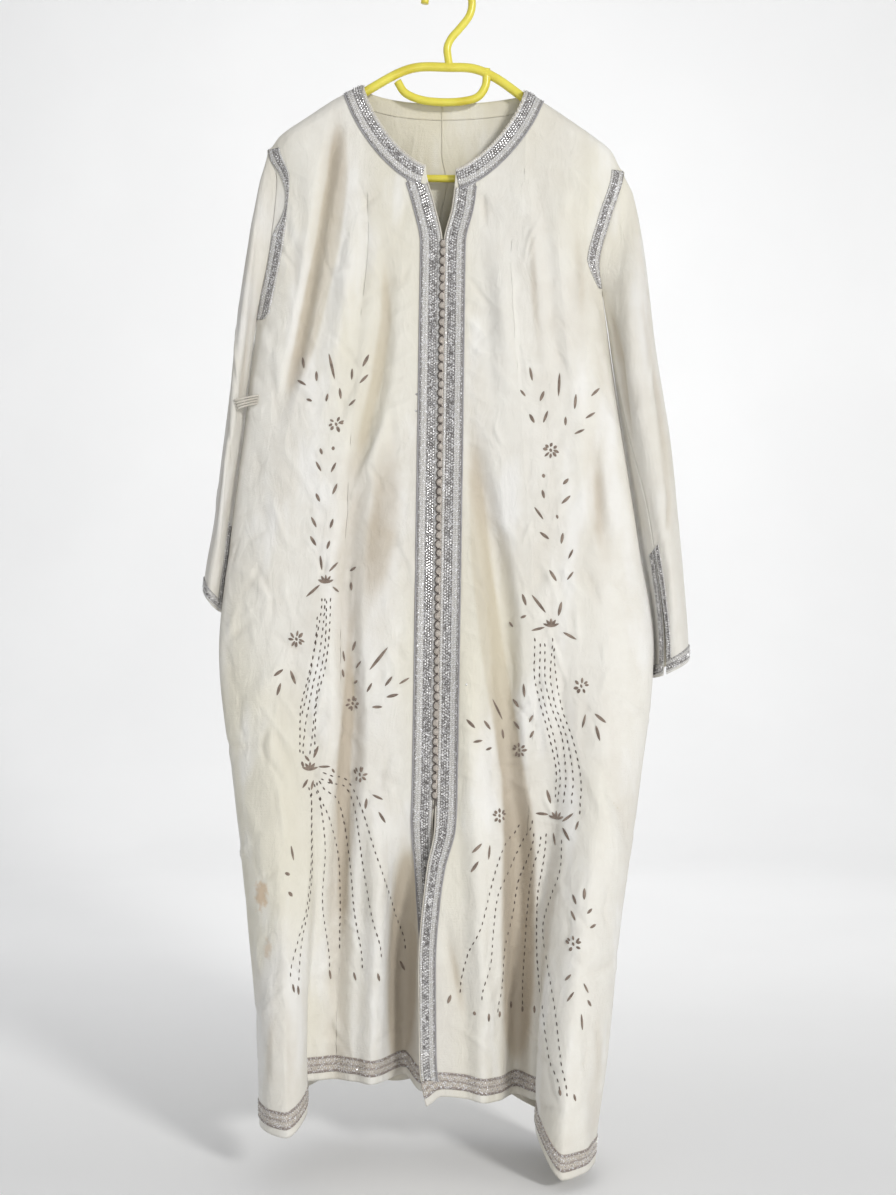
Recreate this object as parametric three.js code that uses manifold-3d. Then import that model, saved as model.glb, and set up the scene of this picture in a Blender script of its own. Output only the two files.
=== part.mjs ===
// A long-sleeved kaftan of silk-like cloth with metallic braid, hanging on a moulded hanger.
// Millimetres, +Z up, front towards -Y. The origin is the point inside the top of the hanger's hook
// where a rail carries it. Left and right are the wearer's: right is at -X, left at +X.
import * as THREE from "three";
import Module from "manifold-3d";
import { mergeVertices } from "three/addons/utils/BufferGeometryUtils.js";

const wasm = await Module();
wasm.setup();

// Rows of numbers under named columns, as one object a row.
const table = (columns, rows) =>
  rows.map((row) => Object.fromEntries(columns.map((name, i) => [name, row[i]])));

// ---------------------------------------------------------------- driving sizes
const cloth = { wall: 1.4, seamGap: 0.3, shoulderDrop: 22 };
const braid = { lift: 0.3, thick: 1.5, front: 23, collar: 26, hem: 22, hemAbove: 10, armhole: 17 };
const buttons = {
  count: 63, top: -352, bottom: -1074, radius: 4.1, around: 6, rings: 3,
  cordWidth: 4.4, cordThick: 1.4, cordRows: 25, halfGap: 5.2,
};
const hanger = { tube: 6, hookTube: 5.2, innerTube: 5.4, barTube: 5, sides: 10, underCloth: 2.7 };
const neck = {
  right: { edgeX: -30, frontZ: -246, shoulderX: -112, shoulderZ: -137 },
  left: { edgeX: 9.5, frontZ: -251, shoulderX: 102, shoulderZ: -144 },
  backZ: -157,
  roundness: 1.4,
};
// The shoulders' top lines, from the neck out to the armhole.
const shoulderLine = {
  right: table(["x", "z"], [[-112, -137], [-130, -144], [-194, -183], [-223, -203], [-240, -222]]),
  left: table(["x", "z"], [[102, -144], [122, -156], [160, -181], [196, -206], [216, -222], [234, -251]]),
};
const shoulderTip = { right: shoulderLine.right.at(-1), left: shoulderLine.left.at(-1) };
const underarm = { right: -456, left: -412 };

// Where the two front edges run: x and y of each edge at a height z.
const closure = table(["z", "rightX", "rightY", "leftX", "leftY"], [
  [-130, -30, -16, 9.5, -16],
  [-250, -29, -19, 10, -19],
  [-300, -17, -22, 5, -22],
  [-351, -6.9, -25, -6.3, -25],
  [-456, -8.3, -31, -7.7, -31],
  [-600, -10.3, -37, -9.7, -37],
  [-821, -13.6, -44, -13, -44],
  [-1080, -17.6, -46, -17, -46],
  [-1120, -19.5, -38, -18.4, -48],
  [-1170, -20, -26, -28, -49],
  [-1300, -13, 0, -39, -52],
  [-1420, -10, 6, -38, -53],
  [-1560, -10, 8, -14, -54],
]);

// Plan of each front below the shoulder, from the closure out to the side seam: x and y of the middle of the
// panel, the root and lip of the side fold, its crest, the rim that makes the outline, and the seam.
const planColumns = [
  "z", "midX", "midY", "rootX", "rootY", "lipX", "lipY", "crestX", "crestY", "rimX", "rimY", "seamX", "seamY",
];
const plan = {
  right: table(planColumns, [
    [-130, -87, -16, -133, -16, -155, -16, -180, -16, -212, -14, -240, 0],
    [-222, -87, -19, -133, -20, -155, -20, -180, -19, -212, -16, -240, 0],
    [-262, -83, -21, -128, -23, -148, -23, -173, -22, -203, -18, -227, 0],
    [-342, -78, -27, -127, -29, -148, -29, -176, -27, -209, -20, -234, 0],
    [-456, -84, -34, -141, -36, -165, -35, -198, -32, -238, -20, -255, 2],
    [-600, -92, -42, -156, -43, -184, -42, -218, -37, -262, -19, -272, 4],
    [-747, -98, -47, -166, -48, -196, -46, -234, -42, -282, -21, -291, 5],
    [-887, -104, -50, -172, -52, -203, -52, -243, -49, -297, -25, -304, 6],
    [-1080, -98, -48, -168, -50, -192, -62, -228, -70, -277, -36, -278, 12],
    [-1250, -98, -36, -174, -40, -182, -76, -214, -98, -259, -54, -248, 17],
    [-1380, -98, -27, -184, -28, -181, -86, -207, -116, -247, -68, -228, 20],
    [-1560, -98, -22, -187, -22, -180, -90, -204, -124, -242, -74, -219, 22],
  ]),
  left: table(planColumns, [
    [-130, 74, -16, 124, -16, 146, -16, 172, -16, 205, -14, 234, 0],
    [-251, 74, -20, 124, -22, 146, -22, 172, -21, 205, -16, 234, 0],
    [-315, 62, -24, 108, -27, 129, -27, 155, -25, 190, -19, 216, 0],
    [-378, 58, -29, 103, -31, 124, -31, 149, -29, 181, -20, 201, 0],
    [-412, 58, -32, 105, -34, 127, -34, 153, -31, 186, -20, 205, 1],
    [-600, 66, -42, 124, -43, 150, -42, 182, -38, 223, -20, 232, 4],
    [-747, 72, -47, 134, -48, 163, -47, 200, -43, 246, -22, 255, 5],
    [-887, 78, -50, 142, -50, 172, -52, 213, -50, 266, -26, 273, 6],
    [-1080, 72, -50, 134, -46, 160, -64, 200, -76, 247, -38, 248, 12],
    [-1250, 58, -50, 122, -36, 134, -78, 174, -106, 223, -54, 212, 17],
    [-1400, 52, -48, 119, -27, 115, -86, 152, -130, 207, -68, 188, 20],
    [-1560, 50, -46, 118, -23, 112, -90, 144, -138, 190, -72, 166, 22],
  ]),
};
// Share of a front's width at which each of those places lies, counted from the closure.
const station = { edge: 0, mid: 0.28, root: 0.5, lip: 0.6, crest: 0.72, rim: 0.87, seam: 1 };

// Plan of the back, from the right side seam to the left one.
const backPlan = table(["z", "quarterY", "middleY"], [
  [-130, 15, 15], [-246, 19, 18], [-456, 27, 25], [-747, 38, 34], [-1080, 56, 50], [-1560, 78, 66],
]);

// Hem height at each share of the width.
const hem = {
  right: table(["share", "z"], [
    [0, -1476], [0.09, -1472], [0.16, -1454], [0.5, -1454],
    [0.6, -1477], [0.72, -1498], [0.87, -1494], [1, -1488],
  ]),
  left: table(["share", "z"], [
    [0, -1478], [0.08, -1466], [0.28, -1473], [0.5, -1480],
    [0.6, -1502], [0.72, -1546], [0.87, -1542], [1, -1530],
  ]),
  back: table(["share", "z"], [[0, -1488], [0.25, -1476], [0.5, -1470], [0.75, -1490], [1, -1530]]),
};

// Soft folds. Each runs down the cloth through the listed stations; x is where its line lies at the height z,
// depth is how far it sinks (plus) or stands out (minus), and width is half of the fold's span.
const foldLine = (...rows) => table(["z", "x", "depth"], rows);
const folds = {
  right: [
    { name: "shoulder trough", width: 17, line: foldLine(
      [-165, -145, 0], [-250, -157, 8], [-475, -193, 9], [-640, -226, 0],
    ) },
    { name: "chest ridge", width: 24, line: foldLine([-240, -118, 0], [-400, -132, -7], [-600, -158, 0]) },
    { name: "long trough", width: 24, line: foldLine(
      [-330, -84, 0], [-505, -90, 7], [-640, -117, 10], [-820, -134, 13],
      [-1000, -127, 15], [-1200, -144, 15], [-1560, -150, 6],
    ) },
    { name: "closure hollow", width: 27, line: foldLine(
      [-1060, -56, 0], [-1200, -58, 14], [-1400, -60, 26], [-1560, -62, 28],
    ) },
    { name: "skirt ridge", width: 24, line: foldLine(
      [-1060, -92, 0], [-1230, -92, -15], [-1400, -98, -16], [-1560, -104, -12],
    ) },
  ],
  left: [
    { name: "shoulder trough", width: 18, line: foldLine(
      [-230, 114, 0], [-320, 124, 5], [-460, 138, 5], [-600, 150, 0],
    ) },
    { name: "chest ridge", width: 22, line: foldLine([-300, 62, 0], [-440, 70, -7], [-640, 80, 0]) },
    { name: "long trough", width: 24, line: foldLine(
      [-560, 26, 0], [-700, 48, 9], [-850, 74, 13], [-1040, 80, 15],
      [-1150, 92, 24], [-1400, 90, 30], [-1560, 88, 24],
    ) },
    { name: "closure ridge", width: 24, line: foldLine(
      [-820, 24, 0], [-980, 27, -7], [-1240, 40, -10], [-1560, 46, -12],
    ) },
    { name: "side trough", width: 18, line: foldLine([-560, 187, 0], [-690, 193, 6], [-800, 215, 0]) },
  ],
  back: [
    { name: "right back fold", width: 46, line: foldLine(
      [-300, -120, 0], [-800, -150, -9], [-1560, -165, -24],
    ) },
    { name: "middle hollow", width: 42, line: foldLine([-500, -30, 0], [-900, -55, 9], [-1560, -70, 24]) },
    { name: "middle fold", width: 46, line: foldLine([-400, 20, 0], [-900, 22, -10], [-1560, 20, -24]) },
    { name: "left back fold", width: 44, line: foldLine(
      [-300, 110, 0], [-800, 120, 9], [-1560, 104, 22],
    ) },
  ],
};

// Sleeves hang beside the body. Lines of each sleeve away from the body and next to it, and the depth of
// its rings from the armhole (way 0) to the cuff (way 1).
const sleeveLine = {
  right: {
    outer: table(["z", "x"], [
      [-222, -240], [-266, -251], [-359, -269], [-443, -282],
      [-529, -291], [-638, -305], [-706, -313], [-809, -328],
    ]),
    inner: table(["z", "x"], [
      [-456, -255.5], [-480, -260], [-516, -266], [-571, -275], [-700, -293], [-838, -307],
    ]),
  },
  left: {
    outer: table(["z", "x"], [
      [-251, 234], [-281, 246], [-355, 261], [-475, 276], [-612, 298], [-704, 307], [-781, 314], [-900, 321],
    ]),
    inner: table(["z", "x"], [
      [-412, 205.5], [-440, 214], [-475, 222], [-612, 242], [-747, 263], [-924, 283],
    ]),
  },
};
const ringColumns = ["way", "middleY", "halfDepth"];
const sleeveRing = {
  right: table(ringColumns, [[0, 0, 13], [0.2, 12, 36], [0.45, 32, 55], [0.75, 40, 60], [1, 38, 54]]),
  left: table(ringColumns, [[0, 0, 13], [0.2, 6, 38], [0.45, 18, 54], [0.75, 20, 58], [1, 14, 54]]),
};
// Each sleeve: where its cuff ends on the outer and the inner line, the turn (from the outer line by the
// front) where the slit of its cuff lies, how far up its seam the slit reaches, and how wide it gapes there.
const sleeve = {
  right: { outerEnd: -809, innerEnd: -838, slitTurn: 0.42, slitLength: 170, gape: 4, girth: 285 },
  left: { outerEnd: -900, innerEnd: -924, slitTurn: 0.34, slitLength: 196, gape: 8, girth: 275 },
};

// ---------------------------------------------------------------- curves and tables
const clamp01 = (t) => Math.min(1, Math.max(0, t));
const mix = (a, b, t) => a + (b - a) * t;
const ease = (t) => t * t * (3 - 2 * t);
// Quarter round: 0 at t = 0 with an upright start, 1 from t = 1 on.
const quarterRound = (t) => Math.sqrt(1 - (1 - clamp01(t)) ** 2);

// A smooth curve through (key, value) rows sorted either way, flat beyond its ends.
function through(rows, keyOf, valueOf, key) {
  const n = rows.length;
  const down = keyOf(rows[0]) > keyOf(rows[n - 1]);
  const past = (a, b) => (down ? a <= b : a >= b);
  if (!past(key, keyOf(rows[0]))) return valueOf(rows[0]);
  if (past(key, keyOf(rows[n - 1]))) return valueOf(rows[n - 1]);
  let i = 0;
  while (past(key, keyOf(rows[i + 1]))) i++;
  const slope = (j) => {
    if (j <= 0 || j >= n - 1) return 0;
    const before = (valueOf(rows[j]) - valueOf(rows[j - 1])) / (keyOf(rows[j]) - keyOf(rows[j - 1]));
    const after = (valueOf(rows[j + 1]) - valueOf(rows[j])) / (keyOf(rows[j + 1]) - keyOf(rows[j]));
    return before * after <= 0 ? 0 : (2 * before * after) / (before + after);
  };
  const span = keyOf(rows[i + 1]) - keyOf(rows[i]);
  const t = (key - keyOf(rows[i])) / span;
  const a = valueOf(rows[i]);
  const b = valueOf(rows[i + 1]);
  const cubic = 2 * t ** 3 - 3 * t ** 2;
  const swing = slope(i) * (t ** 3 - 2 * t ** 2 + t) + slope(i + 1) * (t ** 3 - t ** 2);
  return a * (cubic + 1) - b * cubic + span * swing;
}
const atHeight = (table, column, z) => through(table, (row) => row.z, (row) => row[column], z);
const atShare = (rows, share) => through(rows, (row) => row.share, (row) => row.z, share);

// The depth that the listed folds add at a place on the cloth.
function foldDepth(list, x, z) {
  let sum = 0;
  for (const fold of list) {
    const off = Math.abs(x - atHeight(fold.line, "x", z)) / fold.width;
    if (off < 1) sum += atHeight(fold.line, "depth", z) * Math.cos((off * Math.PI) / 2) ** 2;
  }
  return sum;
}

// ---------------------------------------------------------------- the body's cloth
const sideSign = { right: -1, left: 1 };

// Height of the top edge of a front at a share of its width: first the neckline's quarter ellipse, then the
// shoulder.
const neckShare = 0.4;
const neckRise = (t) => 1 - (1 - clamp01(t) ** neck.roundness) ** (1 / neck.roundness);
const shoulderHeight = (side, x) => through(shoulderLine[side], (row) => row.x, (row) => row.z, x);
function frontTop(side, share) {
  const { frontZ, shoulderZ } = neck[side];
  if (share >= neckShare) {
    const x = mix(neck[side].shoulderX, shoulderTip[side].x, (share - neckShare) / (1 - neckShare));
    return shoulderHeight(side, x);
  }
  return frontZ + (shoulderZ - frontZ) * neckRise(share / neckShare);
}

// Half of the armhole's width in depth at a height: an ellipse from the shoulder tip to the underarm.
function armholeSplit(side, z) {
  const middle = (shoulderTip[side].z + underarm[side]) / 2;
  const half = (shoulderTip[side].z - underarm[side]) / 2;
  return sleeveRing[side][0].halfDepth * Math.sqrt(Math.max(0, 1 - ((z - middle) / half) ** 2));
}

function stations(side, z) {
  const row = (column) => atHeight(plan[side], column, z);
  return [
    [station.edge, atHeight(closure, side + "X", z), atHeight(closure, side + "Y", z)],
    [station.mid, row("midX"), row("midY")],
    [station.root, row("rootX"), row("rootY")],
    [station.lip, row("lipX"), row("lipY")],
    [station.crest, row("crestX"), row("crestY")],
    [station.rim, row("rimX"), row("rimY")],
    [station.seam, row("seamX"), row("seamY") - armholeSplit(side, z)],
  ];
}

// Catmull-Rom value through knots [share, x, y], with end slopes given by the end segments.
function knotCurve(knots, share) {
  let i = 0;
  while (i < knots.length - 2 && share > knots[i + 1][0]) i++;
  const k = (j) => knots[Math.min(Math.max(j, 0), knots.length - 1)];
  const span = k(i + 1)[0] - k(i)[0];
  const t = (share - k(i)[0]) / span;
  return k(0).slice(1).map((_, index) => {
    const c = index + 1;
    const slope = (j) => (k(j + 1)[c] - k(j - 1)[c]) / (k(j + 1)[0] - k(j - 1)[0]);
    const cubic = 2 * t ** 3 - 3 * t ** 2;
    const swing = slope(i) * (t ** 3 - 2 * t ** 2 + t) + slope(i + 1) * (t ** 3 - t ** 2);
    return k(i)[c] * (cubic + 1) - k(i + 1)[c] * cubic + span * swing;
  });
}

// Share of a panel's width over which its folds die out beside a side seam.
const foldFade = 0.12;
const fadeEnd = 1.02;
// A point of a front at a share of its width and a height. Over the shoulder it rounds back to the seam.
function frontPoint(side, share, z) {
  const [x, y] = knotCurve(stations(side, z), share);
  const top = share < neckShare ? Infinity : frontTop(side, share);
  const round = quarterRound((top - z) / cloth.shoulderDrop);
  const fold = foldDepth(folds[side], x, z) * ease(clamp01((fadeEnd - share) / foldFade));
  return new THREE.Vector3(x, (y + fold) * round - cloth.seamGap / 2, z);
}

const backNeckFullness = 0.6;
function backTop(x) {
  const right = neck.right.shoulderX;
  const left = neck.left.shoulderX;
  if (x <= right) return shoulderHeight("right", x);
  if (x >= left) return shoulderHeight("left", x);
  const t = (x - right) / (left - right);
  const rim = mix(neck.right.shoulderZ, neck.left.shoulderZ, t);
  return mix(rim, neck.backZ, Math.sin(Math.PI * t) ** backNeckFullness);
}

// Where the back turns from a side seam to its quarter: two shares of the panel, and how much of the depth
// it has reached at the first.
const backTurn = { near: 0.05, nearDepth: 0.6, full: 0.15 };
// A point of the back at a share from the right seam to the left one, and a height.
function backPoint(share, z) {
  const seam = (side) => {
    const row = (column) => atHeight(plan[side], column, z);
    return [row("seamX"), row("seamY") + armholeSplit(side, z)];
  };
  const [rightX, rightY] = seam("right");
  const [leftX, leftY] = seam("left");
  const quarterY = atHeight(backPlan, "quarterY", z);
  const x = mix(rightX, leftX, share);
  const { near, nearDepth, full } = backTurn;
  const knots = [
    [0, rightY],
    [near, mix(rightY, quarterY, nearDepth)],
    [full, quarterY],
    [0.5, atHeight(backPlan, "middleY", z)],
    [1 - full, quarterY],
    [1 - near, mix(leftY, quarterY, nearDepth)],
    [1, leftY],
  ];
  const [y] = knotCurve(knots, share);
  const edge = ease(clamp01(Math.min(share, 1 - share) / foldFade));
  const topX = mix(shoulderTip.right.x, shoulderTip.left.x, share);
  const inNeck = topX > neck.right.shoulderX && topX < neck.left.shoulderX;
  const round = inNeck ? 1 : quarterRound((backTop(topX) - z) / cloth.shoulderDrop);
  return new THREE.Vector3(x, (y - foldDepth(folds.back, x, z) * edge) * round + cloth.seamGap / 2, z);
}

// ---------------------------------------------------------------- walls from grids of points
// Unit normals of a grid of points[row][column]; facing says which side is outside.
function gridNormals(points, facing) {
  const rows = points.length;
  const columns = points[0].length;
  return points.map((line, r) =>
    line.map((_, c) => {
      const across = line[Math.min(c + 1, columns - 1)].clone().sub(line[Math.max(c - 1, 0)]);
      const down = points[Math.min(r + 1, rows - 1)][c].clone().sub(points[Math.max(r - 1, 0)][c]);
      return across.cross(down).normalize().multiplyScalar(facing);
    }),
  );
}

// A surface is its grid of outer points with their normals. Where a top row or an edge column is sewn to
// another piece, the wall is square to the seam: topNormal and sideNormal give that direction, or null at a
// free edge.
function surfaceOf(points, facing, topNormal, sideNormal) {
  const normals = gridNormals(points, facing);
  const lastColumn = points[0].length - 1;
  normals[0].forEach((normal, c) => topNormal(c) && normal.copy(topNormal(c)));
  for (const c of [0, lastColumn]) {
    if (!sideNormal(c)) continue;
    normals.forEach((line) => line[c].copy(sideNormal(c)));
    if (topNormal(c)) normals[0][c].add(topNormal(c)).normalize();
  }
  return { points, normals };
}

const moved = (surface, by) =>
  surface.points.map((line, r) => line.map((p, c) => p.clone().addScaledVector(surface.normals[r][c], by)));

// A closed solid between two grids of the same size.
function slab(outer, inner) {
  const rows = outer.length;
  const columns = outer[0].length;
  const position = [...outer.flat(), ...inner.flat()].flatMap((p) => [p.x, p.y, p.z]);
  const at = (layer, r, c) => (layer * rows + r) * columns + c;
  const index = [];
  const quad = (a, b, c, d) => index.push(a, b, c, a, c, d);
  for (let r = 0; r < rows - 1; r++) {
    for (let c = 0; c < columns - 1; c++) {
      quad(at(0, r, c), at(0, r, c + 1), at(0, r + 1, c + 1), at(0, r + 1, c));
      quad(at(1, r, c), at(1, r + 1, c), at(1, r + 1, c + 1), at(1, r, c + 1));
    }
    quad(at(0, r, 0), at(0, r + 1, 0), at(1, r + 1, 0), at(1, r, 0));
    quad(at(0, r, columns - 1), at(1, r, columns - 1), at(1, r + 1, columns - 1), at(0, r + 1, columns - 1));
  }
  for (let c = 0; c < columns - 1; c++) {
    quad(at(0, 0, c), at(1, 0, c), at(1, 0, c + 1), at(0, 0, c + 1));
    quad(at(0, rows - 1, c), at(0, rows - 1, c + 1), at(1, rows - 1, c + 1), at(1, rows - 1, c));
  }
  const made = new THREE.BufferGeometry();
  made.setAttribute("position", new THREE.Float32BufferAttribute(position, 3));
  made.setIndex(facesOutwards(position, index) ? index : index.reverse());
  return made;
}

function facesOutwards(position, index) {
  const v = (i) => new THREE.Vector3(position[3 * i], position[3 * i + 1], position[3 * i + 2]);
  let volume = 0;
  for (let i = 0; i < index.length; i += 3) volume += v(index[i]).dot(v(index[i + 1]).cross(v(index[i + 2])));
  return volume > 0;
}

const wallOf = (surface) => slab(surface.points, moved(surface, -cloth.wall));

// The layer of braid that lies on a surface, between the given rows and columns. Its edges are drawn in by
// the gap.
const mostDrawn = 0.45;
function layerOn(surface, rows = [0, Infinity], columns = [0, Infinity]) {
  const cut = (grid) => {
    const kept = grid.slice(rows[0], rows[1] + 1);
    return kept.map((line) => line.slice(columns[0], columns[1] + 1));
  };
  const points = cut(surface.points).map((line) => line.map((p) => p.clone()));
  const part = { points, normals: cut(surface.normals) };
  const drawIn = (edge, next) =>
    edge.forEach((p, i) => p.lerp(next[i], Math.min(mostDrawn, cloth.seamGap / p.distanceTo(next[i]))));
  const last = part.points.length - 1;
  const width = part.points[0].length - 1;
  const column = (c) => part.points.map((line) => line[c]);
  drawIn(part.points[0], part.points[1].map((p) => p.clone()));
  drawIn(part.points[last], part.points[last - 1].map((p) => p.clone()));
  drawIn(column(0), column(1).map((p) => p.clone()));
  drawIn(column(width), column(width - 1).map((p) => p.clone()));
  return slab(moved(part, braid.lift + braid.thick), moved(part, braid.lift));
}

// ---------------------------------------------------------------- joining and cutting
const weldDistance = 1e-4;
function solidOf(geometry) {
  const bare = geometry.clone();
  bare.deleteAttribute("normal");
  bare.deleteAttribute("uv");
  const merged = mergeVertices(bare, weldDistance);
  const vertProperties = merged.attributes.position.array;
  const triVerts = new Uint32Array(merged.index.array);
  return new wasm.Manifold(new wasm.Mesh({ numProp: 3, vertProperties, triVerts }));
}
function geometryOf(solid) {
  const { vertProperties, triVerts } = solid.getMesh();
  const made = new THREE.BufferGeometry();
  made.setAttribute("position", new THREE.BufferAttribute(vertProperties, 3));
  made.setIndex(new THREE.BufferAttribute(triVerts, 1));
  return made;
}
const smallestEdge = 0.02;
function joined(geometries) {
  const whole = geometries.map(solidOf).reduce((all, next) => all.add(next));
  return geometryOf(whole.simplify(smallestEdge));
}

// A prism whose outline is drawn in x and z, reaching from y = 0 towards the front (-1) or the back (1).
const prismReach = 200;
function prism(outline, way) {
  const shape = new THREE.Shape(outline.map(([x, z]) => new THREE.Vector2(x, z)));
  const made = new THREE.ExtrudeGeometry(shape, { depth: prismReach, bevelEnabled: false, steps: 1 });
  made.rotateX(Math.PI / 2);
  if (way > 0) made.translate(0, prismReach, 0);
  return made;
}

// ---------------------------------------------------------------- meshes
const kaftan = new THREE.Group();
const finish = {
  cloth: { color: 0xe6e0d2, roughness: 0.45, metalness: 0 },
  braid: { color: 0xb9b9be, roughness: 0.4, metalness: 0.6 },
  button: { color: 0xd2c4b4, roughness: 0.6, metalness: 0 },
  plastic: { color: 0xd8cc4a, roughness: 0.35, metalness: 0 },
};
function addMesh(name, geometry, look) {
  const mesh = new THREE.Mesh(geometry, new THREE.MeshStandardMaterial(finish[look]));
  mesh.name = name;
  kaftan.add(mesh);
}

// Rows of a column of cloth between its top and hem: close together over the shoulder and at the hem braid.
const topSteps = [0, 2.5, 7, 14, 26];
const hemSteps = [braid.hem + braid.hemAbove, braid.hemAbove, 0];
const middleRows = 17;
const rowGrowth = 1.25;
const hemRows = [topSteps.length + middleRows - 1, topSteps.length + middleRows];
function rowHeights(top, bottom) {
  const high = top - topSteps.at(-1);
  const low = bottom + hemSteps[0];
  const fallen = Array.from({ length: middleRows - 1 }, (_, i) => ((i + 1) / middleRows) ** rowGrowth);
  const middle = fallen.map((t) => mix(high, low, t));
  return [...topSteps.map((d) => top - d), ...middle, ...hemSteps.map((d) => bottom + d)];
}
const rowsFrom = (columns) => columns[0].map((_, r) => columns.map((column) => column[r]));

// Columns of a front: its edge, the two sides of the centre braid, round the neck, and on to the side seam.
const neckColumns = [0.16, 0.22, 0.28, 0.335, 0.375, 0.395];
const outerColumns = [0.4, 0.44, 0.47, 0.5, 0.53, 0.56, 0.6, 0.645, 0.69, 0.735, 0.78, 0.83, 0.88, 0.93, 1];
const upward = new THREE.Vector3(0, 0, 1);
const sideways = (side) => new THREE.Vector3(sideSign[side], 0, 0);

// The share of a front's width that lies a given distance from its edge.
const probeShare = 0.14;
function shareAt(side, z, distance) {
  const knots = stations(side, z);
  const span = Math.abs(knotCurve(knots, probeShare)[0] - knots[0][1]);
  return (distance / span) * probeShare;
}

function frontSurface(side) {
  const edgeColumns = [0, buttons.halfGap, buttons.halfGap + braid.front];
  const fixed = [...neckColumns, ...outerColumns];
  const shareOf = (c, z) =>
    c < edgeColumns.length ? shareAt(side, z, edgeColumns[c]) : fixed[c - edgeColumns.length];
  const neckZ = neck[side].frontZ;
  const columns = Array.from({ length: edgeColumns.length + fixed.length }, (_, c) => {
    const top = frontTop(side, shareOf(c, neckZ));
    const bottom = atShare(hem[side], shareOf(c, underarm[side]));
    return rowHeights(top, bottom).map((z) => frontPoint(side, shareOf(c, z), z));
  });
  const shoulderFrom = edgeColumns.length + neckColumns.length;
  const topNormal = (c) => (c >= shoulderFrom ? upward : null);
  const sideNormal = (c) => (c === 0 ? null : sideways(side));
  return surfaceOf(rowsFrom(columns), -sideSign[side], topNormal, sideNormal);
}

const backColumns = [
  0, 0.03, 0.07, 0.12, 0.17, 0.207, 0.232, 0.258, 0.283, 0.324, 0.38, 0.43, 0.5,
  0.57, 0.62, 0.667, 0.707, 0.741, 0.768, 0.797, 0.83, 0.88, 0.93, 0.97, 1,
];
function backSurface() {
  const across = (share) => mix(shoulderTip.right.x, shoulderTip.left.x, share);
  const columns = backColumns.map((share) =>
    rowHeights(backTop(across(share)), atShare(hem.back, share)).map((z) => backPoint(share, z)),
  );
  const inNeck = (x) => x > neck.right.shoulderX && x < neck.left.shoulderX;
  const topNormal = (c) => (inNeck(across(backColumns[c])) ? null : upward);
  return surfaceOf(rowsFrom(columns), 1, topNormal, (c) => sideways(c === 0 ? "right" : "left"));
}

// ---------------------------------------------------------------- sleeves
// The sewn edge of an armhole at a height: the seam column of the front or the back, as straight from row to
// row as the panel's own edge is.
function armholeEdge(side, z, panel) {
  const edge = panel.points.map((line) => (panel === back && side === "right" ? line[0] : line.at(-1)));
  let i = 0;
  while (i < edge.length - 2 && z < edge[i + 1].z) i++;
  return edge[i].clone().lerp(edge[i + 1], (edge[i].z - z) / (edge[i].z - edge[i + 1].z));
}

// A point of a sleeve, turned from its outer line by the front to its inner line and round the back.
const headShare = { outer: 0.02, inner: 0.12 };
function sleevePoint(side, way, turn) {
  const { outer, inner } = sleeveLine[side];
  const outerZ = mix(shoulderTip[side].z, sleeve[side].outerEnd, way);
  const innerZ = mix(underarm[side], sleeve[side].innerEnd, way);
  const t = (1 - Math.cos(turn)) / 2;
  const row = (column) => through(sleeveRing[side], (r) => r.way, (r) => r[column], way);
  const point = new THREE.Vector3(
    mix(atHeight(outer, "x", outerZ), atHeight(inner, "x", innerZ), t),
    row("middleY") - row("halfDepth") * Math.sin(turn),
    mix(outerZ, innerZ, t),
  );
  // Near the armhole the ring follows the body's edge, and longest by its inner line; further down it is a
  // plain oval.
  const head = mix(headShare.outer, headShare.inner, t);
  if (way >= head) return point;
  const edge = armholeEdge(side, point.z, Math.sin(turn) > 0 ? front[side] : back);
  edge.x += sideSign[side] * cloth.seamGap;
  return edge.lerp(point, ease(way / head));
}

const cuffRows = { above: 3, band: 18 };
const slitColumn = 0.04;
const sleeveWays = [0, 0.02, 0.05, 0.09, 0.14, 0.2, 0.27, 0.35, 0.43, 0.51, 0.59, 0.65, 0.79, 0.87];
// How far down an armhole its turns follow the body's rows, and where its last turn lies.
const armholeRows = { followed: 0.8, last: 0.9 };
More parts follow.
